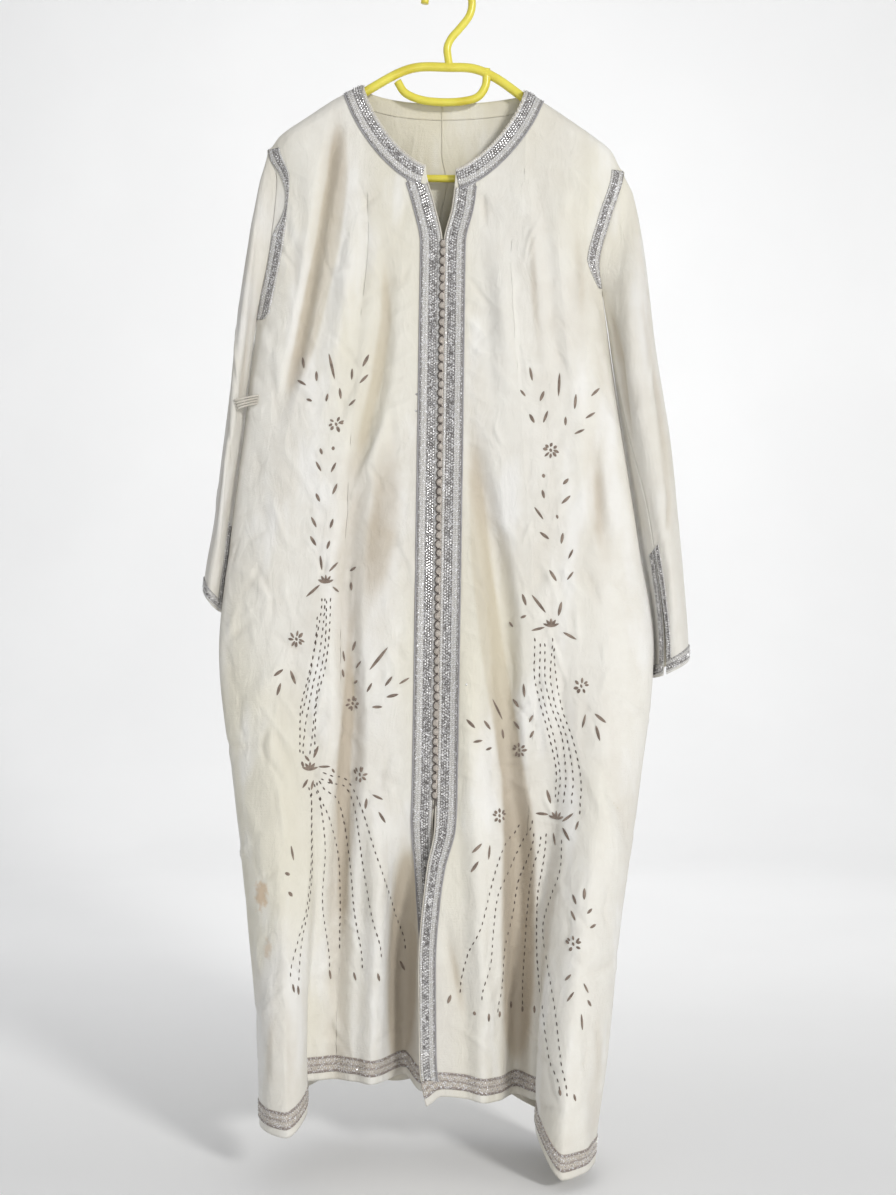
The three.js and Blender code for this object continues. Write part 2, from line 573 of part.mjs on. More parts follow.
// Turns of a sleeve's columns: at the rows of the body's edge, so that both edges of the armhole match.
function sleeveTurns(side) {
  const tip = shoulderTip[side].z;
  const depth = tip - underarm[side];
  const low = tip - armholeRows.followed * depth;
  const heights = front[side].points.map((line) => line.at(-1).z).filter((z) => z < tip && z > low);
  return [...heights, tip - armholeRows.last * depth].map((z) => Math.acos(1 - (2 * (tip - z)) / depth));
}
function sleeveSurface(side) {
  const { outerEnd, slitTurn, slitLength, gape } = sleeve[side];
  const length = shoulderTip[side].z - outerEnd;
  const slitFrom = 1 - slitLength / length;
  const cuffTop = 1 - (cuffRows.above + cuffRows.band) / length;
  const ways = [...sleeveWays, slitFrom, cuffTop, 1 - cuffRows.above / length, 1].sort((a, b) => a - b);
  const turns = sleeveTurns(side).map((turn) => turn / (2 * Math.PI));
  const halves = [...turns.map((t) => 0.5 - t), 0.5, ...turns.map((t) => 0.5 + t)];
  const shares = [0, slitColumn, ...halves, 1 - slitColumn, 1].sort((a, b) => a - b);
  const turnAt = (way, share) => {
    const seam = mix(0.5, slitTurn, ease(clamp01(way / slitFrom)));
    const open = clamp01((way - slitFrom) / (1 - slitFrom));
    const half = (cloth.seamGap + gape * open) / 2 / sleeve[side].girth;
    return 2 * Math.PI * (seam + half + share * (1 - 2 * half));
  };
  const points = ways.map((way) => shares.map((share) => sleevePoint(side, way, turnAt(way, share))));
  // The head's wall stands square to the body, so that it clears the body's edge all round.
  const { halfDepth } = sleeveRing[side][0];
  const halfHeight = (shoulderTip[side].z - underarm[side]) / 2;
  const headNormal = (c) => {
    const turn = turnAt(0, shares[c]);
    return new THREE.Vector3(0, -Math.sin(turn) / halfDepth, Math.cos(turn) / halfHeight).normalize();
  };
  const surface = surfaceOf(points, sideSign[side], headNormal, () => null);
  return { ...surface, slitRow: ways.indexOf(slitFrom) };
}

// ---------------------------------------------------------------- braid
// The neckline as x and z, from the front edge up to the shoulder, and moved outwards by a distance.
function necklineAt(side, t) {
  const { edgeX, frontZ, shoulderX, shoulderZ } = neck[side];
  return [mix(edgeX, shoulderX, t), mix(frontZ, shoulderZ, neckRise(t))];
}
const collarSteps = [0, 0.12, 0.25, 0.4, 0.55, 0.7, 0.82, 0.9, 0.96, 1];
const slopeStep = 0.03;
function necklineMoved(side, distance) {
  return collarSteps.map((t) => {
    const [x0, z0] = necklineAt(side, Math.max(0, t - slopeStep));
    const [x1, z1] = necklineAt(side, Math.min(1, t + slopeStep));
    const length = Math.hypot(x1 - x0, z1 - z0);
    const [x, z] = necklineAt(side, t);
    const across = (sideSign[side] * (z1 - z0) * distance) / length;
    const down = (Math.abs(x1 - x0) * distance) / length;
    return [x + across, z - down];
  });
}
const collarMargin = 12;
// Outline of a collar: wide enough inwards to take the whole neck edge, and cut square at the front edge.
function collarOutline(side, width) {
  const inner = necklineMoved(side, -collarMargin);
  const outer = necklineMoved(side, width);
  const middleX = neck[side].edgeX - sideSign[side] * collarMargin;
  const beyond = inner.at(-1)[1] + 3 * collarMargin;
  return [
    [middleX, inner[0][1]], ...inner, [inner.at(-1)[0], beyond], [outer.at(-1)[0], beyond],
    ...outer.reverse(), [middleX, outer.at(-1)[1] - width / 2],
  ];
}
const backCollar = { points: 15, taper: 0.14 };
function backCollarOutline(width) {
  const low = (t) => {
    const x = mix(neck.right.shoulderX - width, neck.left.shoulderX + width, t);
    return [x, backTop(x) - width * ease(clamp01(Math.min(t, 1 - t) / backCollar.taper))];
  };
  const steps = Array.from({ length: backCollar.points }, (_, i) => i / (backCollar.points - 1));
  const above = neck.right.shoulderZ + 2 * collarMargin;
  return [...steps.map(low), [neck.left.shoulderX + width, above], [neck.right.shoulderX - width, above]];
}
// Outline of the braid beside an armhole, narrowing to a point at the underarm.
const armholeBand = {
  steps: [-0.1, 0.06, 0.2, 0.35, 0.5, 0.65, 0.8, 0.92, 1], pointFrom: 0.25, pointFullness: 0.7, narrowest: 1,
};
function armholeOutline(side) {
  const tip = shoulderTip[side].z;
  const low = underarm[side];
  const inset = 2 * cloth.seamGap;
  const { steps, pointFrom, pointFullness, narrowest } = armholeBand;
  const full = (t) => Math.min(1, (1 - t) / pointFrom) ** pointFullness;
  const width = (t) => inset + Math.max(narrowest, braid.armhole * full(t));
  const heights = steps.map((t) => [t, mix(tip, low, t)]);
  const seam = (z) => atHeight(plan[side], "seamX", z);
  const inner = heights.map(([t, z]) => [seam(z) - sideSign[side] * width(t), z]);
  const outer = heights.map(([, z]) => [seam(z) - sideSign[side] * inset, z]);
  return [...inner, ...outer.reverse()];
}

// The belt loop at the waist: a short tab of braid, sewn beside the right side seam and standing out past it.
const beltLoop = {
  sewnShares: [0.835, 0.855], tipX: [-269, -282], proud: 4, top: -549, height: 15, slant: 6,
};
const beltRows = [0, 0.5, 1];
function beltLoopSolid() {
  const { sewnShares, tipX, proud, top, height, slant } = beltLoop;
  const line = (thickness) => beltRows.map((t) => {
    const z = top - t * height;
    const sewn = sewnShares.map((share) => frontPoint("right", share, z));
    const free = tipX.map((x) => new THREE.Vector3(x, sewn[1].y - proud, z - slant));
    return [...sewn, ...free].map((p) => p.add(new THREE.Vector3(0, -2 * cloth.seamGap - thickness, 0)));
  });
  return slab(line(braid.thick), line(0));
}

// Pieces of the braid layer of a surface, cut by outlines: with keeps what lies in one, without drops it.
const layerOver = (surface) => slab(moved(surface, braid.lift + braid.thick), moved(surface, braid.lift));
const layerWithin = (surface, outline, way) =>
  solidOf(layerOver(surface)).intersect(solidOf(prism(outline, way)));

// ---------------------------------------------------------------- buttons
// A row of knots on a narrow cord that lies along the closure.
function buttonColumn() {
  const lift = 3 * cloth.seamGap;
  const middle = (z) => (atHeight(closure, "rightX", z) + atHeight(closure, "leftX", z)) / 2;
  const edgeY = (z) => Math.min(atHeight(closure, "rightY", z), atHeight(closure, "leftY", z));
  const depth = (z) => edgeY(z) - cloth.seamGap / 2;
  const high = buttons.top + buttons.radius;
  const low = buttons.bottom - buttons.radius;
  const last = buttons.cordRows - 1;
  const rows = Array.from({ length: buttons.cordRows }, (_, i) => mix(high, low, i / last));
  const across = [-buttons.cordWidth / 2, buttons.cordWidth / 2];
  const line = (proud) =>
    rows.map((z) => across.map((off) => new THREE.Vector3(middle(z) + off, depth(z) - proud, z)));
  const cord = slab(line(lift + buttons.cordThick), line(lift));
  const knots = Array.from({ length: buttons.count }, (_, i) => {
    const z = mix(buttons.top, buttons.bottom, i / (buttons.count - 1));
    const knot = new THREE.SphereGeometry(buttons.radius, buttons.around, buttons.rings);
    return knot.translate(middle(z), depth(z) - lift - buttons.cordThick / 2 - buttons.radius, z);
  });
  return joined([cord, ...knots]);
}

// ---------------------------------------------------------------- hanger
// Routes of the hanger's round bars: x and z of the points that each passes, in the plane y = 0.
const armRuns = [11, 36, 62, 90];
const slopeReach = 4;
function armLine(side) {
  const drop = cloth.wall + hanger.underCloth + hanger.tube;
  const sign = sideSign[side];
  // Square to the shoulder line, inwards and down.
  const at = (x) => {
    const rise = shoulderHeight(side, x - slopeReach) - shoulderHeight(side, x + slopeReach);
    const fall = rise / (2 * slopeReach);
    const length = Math.hypot(1, fall);
    return [x - (fall / length) * drop, shoulderHeight(side, x) - drop / length];
  };
  const { shoulderX } = neck[side];
  return armRuns.map((run) => at(shoulderX + sign * run));
}
const hangerRoutes = {
  arms: {
    radius: hanger.tube,
    points: [
      [-172, -258.6], [-194, -257], [-210, -248], [-216, -232], [-212, -214], ...armLine("right").reverse(),
      [-64, -119], [-40, -112], [0, -112], [35, -114], [63, -126], ...armLine("left"),
      [201, -232], [201, -247], [190, -260], [168, -262.6],
    ],
  },
  bar: {
    radius: hanger.barTube,
    points: [[-182, -258.4], [-90, -259.2], [0, -260], [90, -261], [178, -262.5]],
  },
  hook: {
    radius: hanger.hookTube,
    points: [
      [-31, -27], [-28.5, -12], [-17, 0.3], [0, 5.2], [17, 0.3], [28.5, -12], [32, -27], [28.5, -43],
      [15, -61], [4, -74], [-1, -86], [0, -99], [2, -111],
    ],
  },
  innerHook: {
    radius: hanger.innerTube,
    points: [
      [51, -114], [50, -136], [40, -151], [20, -157], [-15, -158], [-40, -154], [-58, -145], [-67, -131],
    ],
  },
};
const circle = (radius, sides) => Array.from({ length: sides }, (_, i) => {
  const turn = (2 * Math.PI * i) / sides;
  return new THREE.Vector2(radius * Math.cos(turn), radius * Math.sin(turn));
});
function bar({ radius, points }) {
  const places = points.map(([x, z]) => new THREE.Vector3(x, 0, z));
  const route = new THREE.CatmullRomCurve3(places, false, "centripetal");
  const round = new THREE.Shape(circle(radius, hanger.sides));
  return new THREE.ExtrudeGeometry(round, { steps: 2 * points.length, extrudePath: route });
}

// ---------------------------------------------------------------- the whole garment
const sides = ["right", "left"];
const front = { right: frontSurface("right"), left: frontSurface("left") };
const back = backSurface();
for (const side of sides) {
  const surface = front[side];
  addMesh(`front_${side}`, wallOf(surface), "cloth");
  const collar = layerWithin(surface, collarOutline(side, braid.collar), -1);
  addMesh(`collar_${side}`, geometryOf(collar), "braid");
  const centre = solidOf(layerOn(surface, [0, hemRows[0]], [1, 2]));
  const room = solidOf(prism(collarOutline(side, braid.collar + cloth.seamGap), -1));
  addMesh(`centre_braid_${side}`, geometryOf(centre.subtract(room)), "braid");
  addMesh(`armhole_braid_${side}`, geometryOf(layerWithin(surface, armholeOutline(side), -1)), "braid");
  addMesh(`hem_braid_${side}`, layerOn(surface, hemRows), "braid");
}
addMesh("belt_loop", beltLoopSolid(), "braid");
addMesh("back", wallOf(back), "cloth");
addMesh("collar_back", geometryOf(layerWithin(back, backCollarOutline(braid.collar), 1)), "braid");
addMesh("hem_braid_back", layerOn(back, hemRows), "braid");
for (const side of sides) {
  const surface = sleeveSurface(side);
  const lastRow = surface.points.length - 1;
  const lastColumn = surface.points[0].length - 1;
  const slitRow = surface.slitRow;
  addMesh(`sleeve_${side}`, wallOf(surface), "cloth");
  addMesh(`cuff_braid_${side}`, layerOn(surface, [lastRow - 2, lastRow - 1]), "braid");
  const slitRows = [slitRow, lastRow - 2];
  addMesh(`slit_braid_front_${side}`, layerOn(surface, slitRows, [lastColumn - 1, lastColumn]), "braid");
  addMesh(`slit_braid_back_${side}`, layerOn(surface, slitRows, [0, 1]), "braid");
}
addMesh("buttons", buttonColumn(), "button");
addMesh("hanger", joined(Object.values(hangerRoutes).map(bar)), "plastic");

export default kaftan;
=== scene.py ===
import math
import bpy
import numpy as np
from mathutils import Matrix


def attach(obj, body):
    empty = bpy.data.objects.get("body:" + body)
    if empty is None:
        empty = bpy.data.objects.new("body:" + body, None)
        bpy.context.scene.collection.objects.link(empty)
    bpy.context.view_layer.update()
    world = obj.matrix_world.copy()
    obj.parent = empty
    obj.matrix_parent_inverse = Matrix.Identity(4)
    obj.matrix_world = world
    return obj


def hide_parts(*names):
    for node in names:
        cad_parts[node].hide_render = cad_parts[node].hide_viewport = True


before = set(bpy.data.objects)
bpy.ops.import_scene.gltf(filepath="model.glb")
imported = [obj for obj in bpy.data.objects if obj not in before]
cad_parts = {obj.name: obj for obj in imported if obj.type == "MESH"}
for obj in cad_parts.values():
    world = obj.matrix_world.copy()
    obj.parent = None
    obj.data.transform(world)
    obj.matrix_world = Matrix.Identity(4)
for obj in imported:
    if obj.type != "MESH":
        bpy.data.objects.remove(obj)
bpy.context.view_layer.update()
scene = bpy.context.scene
rng = np.random.default_rng(11)  # one seed for every scattered value
mm = 0.001  # tables are in millimetres, meshes in metres

print("camera, floor and lights")
shot = {"eye": (0.0, -2.3, -0.817), "lens": 52.1, "sensor": 36.0}
camera = bpy.data.objects.new("camera", bpy.data.cameras.new("camera"))
scene.collection.objects.link(camera)
camera.location = shot["eye"]
camera.rotation_euler = (math.pi / 2, 0, 0)
camera.data.lens = shot["lens"]
camera.data.sensor_width = shot["sensor"]
camera.data.clip_end = 60
scene.camera = camera
scene.view_settings.view_transform = "Standard"

studio = {"floorZ": -1.562, "wallY": 4.2, "bend": 1.6, "half": 7.0, "front": -4.5, "top": 6.0, "grey": (246, 246, 246)}
lamps = {
    "key": {
        "place": (3.3, -5.2, 1.3), "aim": (0.0, 0.0, -1.05),
        "size": 1.1, "watts": 214, "tint": (1.0, 0.99, 0.97),
    },
    "front": {
        "place": (0.6, -4.6, -1.1), "aim": (0.0, 0.0, -1.15),
        "size": 1.6, "watts": 20, "tint": (1.0, 1.0, 1.0),
    },
    "fill": {
        "place": (-3.6, -3.6, 0.0), "aim": (0.0, 0.0, -0.9),
        "size": 2.6, "watts": 10, "tint": (0.98, 0.99, 1.0),
    },
    "wall": {
        "place": (0.0, 1.0, 0.9), "aim": (0.0, 4.2, -0.45),
        "size": 1.2, "watts": 34, "tint": (1.0, 1.0, 1.0),
    },
}
skyLight = {"tint": (0.975, 0.985, 1.0), "strength": 0.44}


def paint(red, green, blue):
    # a colour named by its screen values, as the linear values that a shader takes
    share = np.array([red, green, blue]) / 255
    linear = np.where(share <= 0.04045, share / 12.92, ((share + 0.055) / 1.055) ** 2.4)
    return (*linear.tolist(), 1.0)


def ease(t):
    t = np.clip(t, 0, 1)
    return t * t * (3 - 2 * t)


def mix(a, b, t):
    return a + (b - a) * t


def unitRows(rows):
    # each vector over its own length
    return rows / np.maximum(np.linalg.norm(rows, axis=-1, keepdims=True), 1e-9)


def through(keys, values, at):
    # a smooth curve through the rows: a cubic between two rows, its slopes the harmonic mean of the
    # neighbouring slopes, and flat beyond the ends
    keys, values = np.asarray(keys, float), np.asarray(values, float)
    if keys[0] > keys[-1]:
        keys, values = keys[::-1], values[::-1]
    step = np.diff(keys)
    rise = np.diff(values) / step
    product, total = rise[1:] * rise[:-1], rise[1:] + rise[:-1]
    inner = np.where(product > 0, 2 * product / np.where(total == 0, 1, total), 0)
    slope = np.concatenate([[0], inner, [0]])
    at = np.clip(at, keys[0], keys[-1])
    i = np.clip(np.searchsorted(keys, at, side="right") - 1, 0, len(keys) - 2)
    t = (at - keys[i]) / step[i]
    cubic = 2 * t**3 - 3 * t**2
    swing = slope[i] * (t**3 - 2 * t**2 + t) + slope[i + 1] * (t**3 - t**2)
    return values[i] * (cubic + 1) - values[i + 1] * cubic + step[i] * swing


def knotCurve(shares, values, at):
    # a Catmull-Rom curve through knots: values holds one array a knot
    shares, values = np.asarray(shares, float), np.stack(values)
    last = len(shares) - 1
    i = np.clip(np.searchsorted(shares, at, side="right") - 1, 0, last - 1)

    def knot(j):
        j = np.clip(j, 0, last)
        return shares[j], np.take_along_axis(values, j[None], 0)[0]

    (s0, v0), (s1, v1), (s2, v2), (s3, v3) = (knot(i + k) for k in (-1, 0, 1, 2))
    t = (at - s1) / (s2 - s1)
    cubic = 2 * t**3 - 3 * t**2
    swing = (v2 - v0) / (s2 - s0) * (t**3 - 2 * t**2 + t) + (v3 - v1) / (s3 - s1) * (t**3 - t**2)
    return v1 * (cubic + 1) - v2 * cubic + (s2 - s1) * swing


print("the garment's own lines")
signOf = {"right": -1.0, "left": 1.0}  # the wearer's right is at -x
cut = {"drop": 22.0, "gap": 0.3, "neckShare": 0.4, "round": 1.4, "backNeck": -157.0, "backFull": 0.6}
neck = {
    "right": {"edgeX": -30, "frontZ": -246, "shoulderX": -112, "shoulderZ": -137},
    "left": {"edgeX": 9.5, "frontZ": -251, "shoulderX": 102, "shoulderZ": -144},
}
shoulder = {
    "right": np.array([[-112, -137], [-130, -144], [-194, -183], [-223, -203], [-240, -222]], float),
    "left": np.array([[102, -144], [122, -156], [160, -181], [196, -206], [216, -222], [234, -251]], float),
}
underarm = {"right": -456, "left": -412}
# z, then x and y of the right and of the left front edge
closure = np.array([
    [-130, -30, -16, 9.5, -16], [-250, -29, -19, 10, -19], [-300, -17, -22, 5, -22],
    [-351, -6.9, -25, -6.3, -25], [-456, -8.3, -31, -7.7, -31], [-600, -10.3, -37, -9.7, -37],
    [-821, -13.6, -44, -13, -44], [-1080, -17.6, -46, -17, -46], [-1120, -19.5, -38, -18.4, -48],
    [-1170, -20, -26, -28, -49], [-1300, -13, 0, -39, -52], [-1420, -10, 6, -38, -53],
    [-1560, -10, 8, -14, -54],
])
# z, then x and y of the middle, the fold's root, its lip, its crest, the rim and the side seam
plan = {
    "right": np.array([
        [-130, -87, -16, -133, -16, -155, -16, -180, -16, -212, -14, -240, 0],
        [-222, -87, -19, -133, -20, -155, -20, -180, -19, -212, -16, -240, 0],
        [-262, -83, -21, -128, -23, -148, -23, -173, -22, -203, -18, -227, 0],
        [-342, -78, -27, -127, -29, -148, -29, -176, -27, -209, -20, -234, 0],
        [-456, -84, -34, -141, -36, -165, -35, -198, -32, -238, -20, -255, 2],
        [-600, -92, -42, -156, -43, -184, -42, -218, -37, -262, -19, -272, 4],
        [-747, -98, -47, -166, -48, -196, -46, -234, -42, -282, -21, -291, 5],
        [-887, -104, -50, -172, -52, -203, -52, -243, -49, -297, -25, -304, 6],
        [-1080, -98, -48, -168, -50, -192, -62, -228, -70, -277, -36, -278, 12],
        [-1250, -98, -36, -174, -40, -182, -76, -214, -98, -259, -54, -248, 17],
        [-1380, -98, -27, -184, -28, -181, -86, -207, -116, -247, -68, -228, 20],
        [-1560, -98, -22, -187, -22, -180, -90, -204, -124, -242, -74, -219, 22],
    ], float),
    "left": np.array([
        [-130, 74, -16, 124, -16, 146, -16, 172, -16, 205, -14, 234, 0],
        [-251, 74, -20, 124, -22, 146, -22, 172, -21, 205, -16, 234, 0],
        [-315, 62, -24, 108, -27, 129, -27, 155, -25, 190, -19, 216, 0],
        [-378, 58, -29, 103, -31, 124, -31, 149, -29, 181, -20, 201, 0],
        [-412, 58, -32, 105, -34, 127, -34, 153, -31, 186, -20, 205, 1],
        [-600, 66, -42, 124, -43, 150, -42, 182, -38, 223, -20, 232, 4],
        [-747, 72, -47, 134, -48, 163, -47, 200, -43, 246, -22, 255, 5],
        [-887, 78, -50, 142, -50, 172, -52, 213, -50, 266, -26, 273, 6],
        [-1080, 72, -50, 134, -46, 160, -64, 200, -76, 247, -38, 248, 12],
        [-1250, 58, -50, 122, -36, 134, -78, 174, -106, 223, -54, 212, 17],
        [-1400, 52, -48, 119, -27, 115, -86, 152, -130, 207, -68, 188, 20],
        [-1560, 50, -46, 118, -23, 112, -90, 144, -138, 190, -72, 166, 22],
    ], float),
}
stations = [0, 0.28, 0.5, 0.6, 0.72, 0.87, 1]
backPlan = np.array([
    [-130, 15, 15], [-246, 19, 18], [-456, 27, 25], [-747, 38, 34], [-1080, 56, 50], [-1560, 78, 66],
], float)
hem = {
    "right": np.array([[0, -1476], [0.09, -1472], [0.16, -1454], [0.5, -1454], [0.6, -1477], [0.72, -1498],
                       [0.87, -1494], [1, -1488]]),
    "left": np.array([[0, -1478], [0.08, -1466], [0.28, -1473], [0.5, -1480], [0.6, -1502], [0.72, -1546],
                      [0.87, -1542], [1, -1530]]),
    "back": np.array([[0, -1488], [0.25, -1476], [0.5, -1470], [0.75, -1490], [1, -1530]]),
}
# the large folds: half a fold's span, then z, x and how deep it sinks at points down its line
folds = {
    "right": [
        (17, [[-165, -145, 0], [-250, -157, 8], [-475, -193, 9], [-640, -226, 0]]),
        (24, [[-240, -118, 0], [-400, -132, -7], [-600, -158, 0]]),
        (24, [[-330, -84, 0], [-505, -90, 7], [-640, -117, 10], [-820, -134, 13], [-1000, -127, 15],
              [-1200, -144, 15], [-1560, -150, 6]]),
        (27, [[-1060, -56, 0], [-1200, -58, 14], [-1400, -60, 26], [-1560, -62, 28]]),
        (24, [[-1060, -92, 0], [-1230, -92, -15], [-1400, -98, -16], [-1560, -104, -12]]),
    ],
    "left": [
        (18, [[-230, 114, 0], [-320, 124, 5], [-460, 138, 5], [-600, 150, 0]]),
        (22, [[-300, 62, 0], [-440, 70, -7], [-640, 80, 0]]),
        (24, [[-560, 26, 0], [-700, 48, 9], [-850, 74, 13], [-1040, 80, 15], [-1150, 92, 24],
              [-1400, 90, 30], [-1560, 88, 24]]),
        (24, [[-820, 24, 0], [-980, 27, -7], [-1240, 40, -10], [-1560, 46, -12]]),
        (18, [[-560, 187, 0], [-690, 193, 6], [-800, 215, 0]]),
    ],
    "back": [
        (46, [[-300, -120, 0], [-800, -150, -9], [-1560, -165, -24]]),
        (42, [[-500, -30, 0], [-900, -55, 9], [-1560, -70, 24]]),
        (46, [[-400, 20, 0], [-900, 22, -10], [-1560, 20, -24]]),
        (44, [[-300, 110, 0], [-800, 120, 9], [-1560, 104, 22]]),
    ],
}


def foldDepth(side, x, z):
    # the sum of the folds: each is its depth times a squared cosine of the distance from its line
    total = np.zeros(np.broadcast(x, z).shape)
    for width, rows in folds[side]:
        rows = np.array(rows, float)
        off = np.abs(x - through(rows[:, 0], rows[:, 1], z)) / width
        bell = np.cos(np.minimum(off, 1) * math.pi / 2) ** 2
        total += np.where(off < 1, through(rows[:, 0], rows[:, 2], z) * bell, 0)
    return total


def neckRise(t):
    t = np.clip(t, 0, 1)
    return 1 - (1 - t ** cut["round"]) ** (1 / cut["round"])


def shoulderHeight(side, x):
    return through(shoulder[side][:, 0], shoulder[side][:, 1], x)


def frontTop(side, share):
    n = neck[side]
    low = n["frontZ"] + (n["shoulderZ"] - n["frontZ"]) * neckRise(share / cut["neckShare"])
    x = mix(n["shoulderX"], shoulder[side][-1, 0], (share - cut["neckShare"]) / (1 - cut["neckShare"]))
    return np.where(share >= cut["neckShare"], shoulderHeight(side, x), low)


def quarterRound(t):
    return np.sqrt(1 - (1 - np.clip(t, 0, 1)) ** 2)


def armholeSplit(side, z):
    tip, low = shoulder[side][-1, 1], underarm[side]
    return 13 * np.sqrt(np.clip(1 - ((z - (tip + low) / 2) / ((tip - low) / 2)) ** 2, 0, None))


def frontPoint(side, share, z):
    # the front's own surface at a share of its width and a height: a curve through seven places across,
    # the large folds added, and a quarter round over the shoulder
    share, z = np.broadcast_arrays(np.asarray(share, float), np.asarray(z, float))
    table, column = plan[side], {"right": 1, "left": 3}[side]
    lines = [(closure, column + k) for k in (0, 1)] + [(table, k) for k in range(1, 13)]
    values = [through(rows[:, 0], rows[:, k], z) for rows, k in lines]
    xs, ys = values[::2], values[1::2]
    ys[-1] = ys[-1] - armholeSplit(side, z)
    x, y = knotCurve(stations, xs, share), knotCurve(stations, ys, share)
    top = np.where(share < cut["neckShare"], 1e9, frontTop(side, share))
    y = (y + foldDepth(side, x, z) * ease((1.02 - share) / 0.12)) * quarterRound((top - z) / cut["drop"])
    return np.stack([x, y - cut["gap"] / 2, z], -1)


def backTop(x):
    r, l = neck["right"]["shoulderX"], neck["left"]["shoulderX"]
    t = np.clip((x - r) / (l - r), 0, 1)
    rim = mix(neck["right"]["shoulderZ"], neck["left"]["shoulderZ"], t)
    inside = mix(rim, cut["backNeck"], np.abs(np.sin(math.pi * t)) ** cut["backFull"])
    return np.where(x <= r, shoulderHeight("right", x), np.where(x >= l, shoulderHeight("left", x), inside))


def backAcross(share):
    return mix(shoulder["right"][-1, 0], shoulder["left"][-1, 0], share)


def backPoint(share, z):
    # the back's own surface, from the right side seam to the left one, built as the front is
    share, z = np.broadcast_arrays(np.asarray(share, float), np.asarray(z, float))
    seam = {
        s: (through(plan[s][:, 0], plan[s][:, 11], z), through(plan[s][:, 0], plan[s][:, 12], z) + armholeSplit(s, z))
        for s in signOf
    }
    (rx, ry), (lx, ly) = seam["right"], seam["left"]
    quarter = through(backPlan[:, 0], backPlan[:, 1], z)
    middle = through(backPlan[:, 0], backPlan[:, 2], z)
    ys = [ry, mix(ry, quarter, 0.6), quarter, middle, quarter, mix(ly, quarter, 0.6), ly]
    x, y = mix(rx, lx, share), knotCurve([0, 0.05, 0.15, 0.5, 0.85, 0.95, 1], ys, share)
    topX = backAcross(share)
    inNeck = (topX > neck["right"]["shoulderX"]) & (topX < neck["left"]["shoulderX"])
    bend = np.where(inNeck, 1, quarterRound((backTop(topX) - z) / cut["drop"]))
    y = (y - foldDepth("back", x, z) * ease(np.minimum(share, 1 - share) / 0.12)) * bend
    return np.stack([x, y + cut["gap"] / 2, z], -1)


sleeveLine = {
    "right": {
        "outer": [[-222, -240], [-266, -251], [-359, -269], [-443, -282], [-529, -291], [-638, -305], [-706, -313],
                  [-809, -328]],
        "inner": [[-456, -255.5], [-480, -260], [-516, -266], [-571, -275], [-700, -293], [-838, -307]],
        "rings": [[0, 0, 13], [0.2, 12, 36], [0.45, 32, 55], [0.75, 40, 60], [1, 38, 54]],
        "slitTurn": 0.42, "slitLength": 170, "gape": 4, "girth": 285,
    },
    "left": {
        "outer": [[-251, 234], [-281, 246], [-355, 261], [-475, 276], [-612, 298], [-704, 307], [-781, 314],
                  [-900, 321]],
        "inner": [[-412, 205.5], [-440, 214], [-475, 222], [-612, 242], [-747, 263], [-924, 283]],
        "rings": [[0, 0, 13], [0.2, 6, 38], [0.45, 18, 54], [0.75, 20, 58], [1, 14, 54]],
        "slitTurn": 0.34, "slitLength": 196, "gape": 8, "girth": 275,
    },
}


def sleevePoint(side, way, turn):
    # an oval ring between the sleeve's outer line and the body's side, turned from the outer line by the
    # front; near the armhole it follows the body's own edge, longest at its inner line
    s = sleeveLine[side]
    outer, inner, rings = (np.array(s[k], float) for k in ("outer", "inner", "rings"))
    outerZ = mix(shoulder[side][-1, 1], outer[-1, 0], way)
    innerZ = mix(underarm[side], inner[-1, 0], way)
    t = (1 - np.cos(turn)) / 2
    beside = through(plan[side][:, 0], plan[side][:, 11], innerZ) + signOf[side] * 1.3
    x = mix(through(outer[:, 0], outer[:, 1], outerZ), beside, t)
    z = mix(outerZ, innerZ, t)
    y = through(rings[:, 0], rings[:, 1], way) - through(rings[:, 0], rings[:, 2], way) * np.sin(turn)
    free = np.stack([x, y, z], -1)
    byFront = frontPoint(side, np.ones_like(z), z)
    byBack = backPoint(np.full_like(z, 0.0 if side == "right" else 1.0), z)
    edge = np.where((np.sin(turn) > 0)[..., None], byFront, byBack)
    edge[..., 0] += signOf[side] * cut["gap"]
    return mix(edge, free, ease(way / mix(0.02, 0.12, t))[..., None])


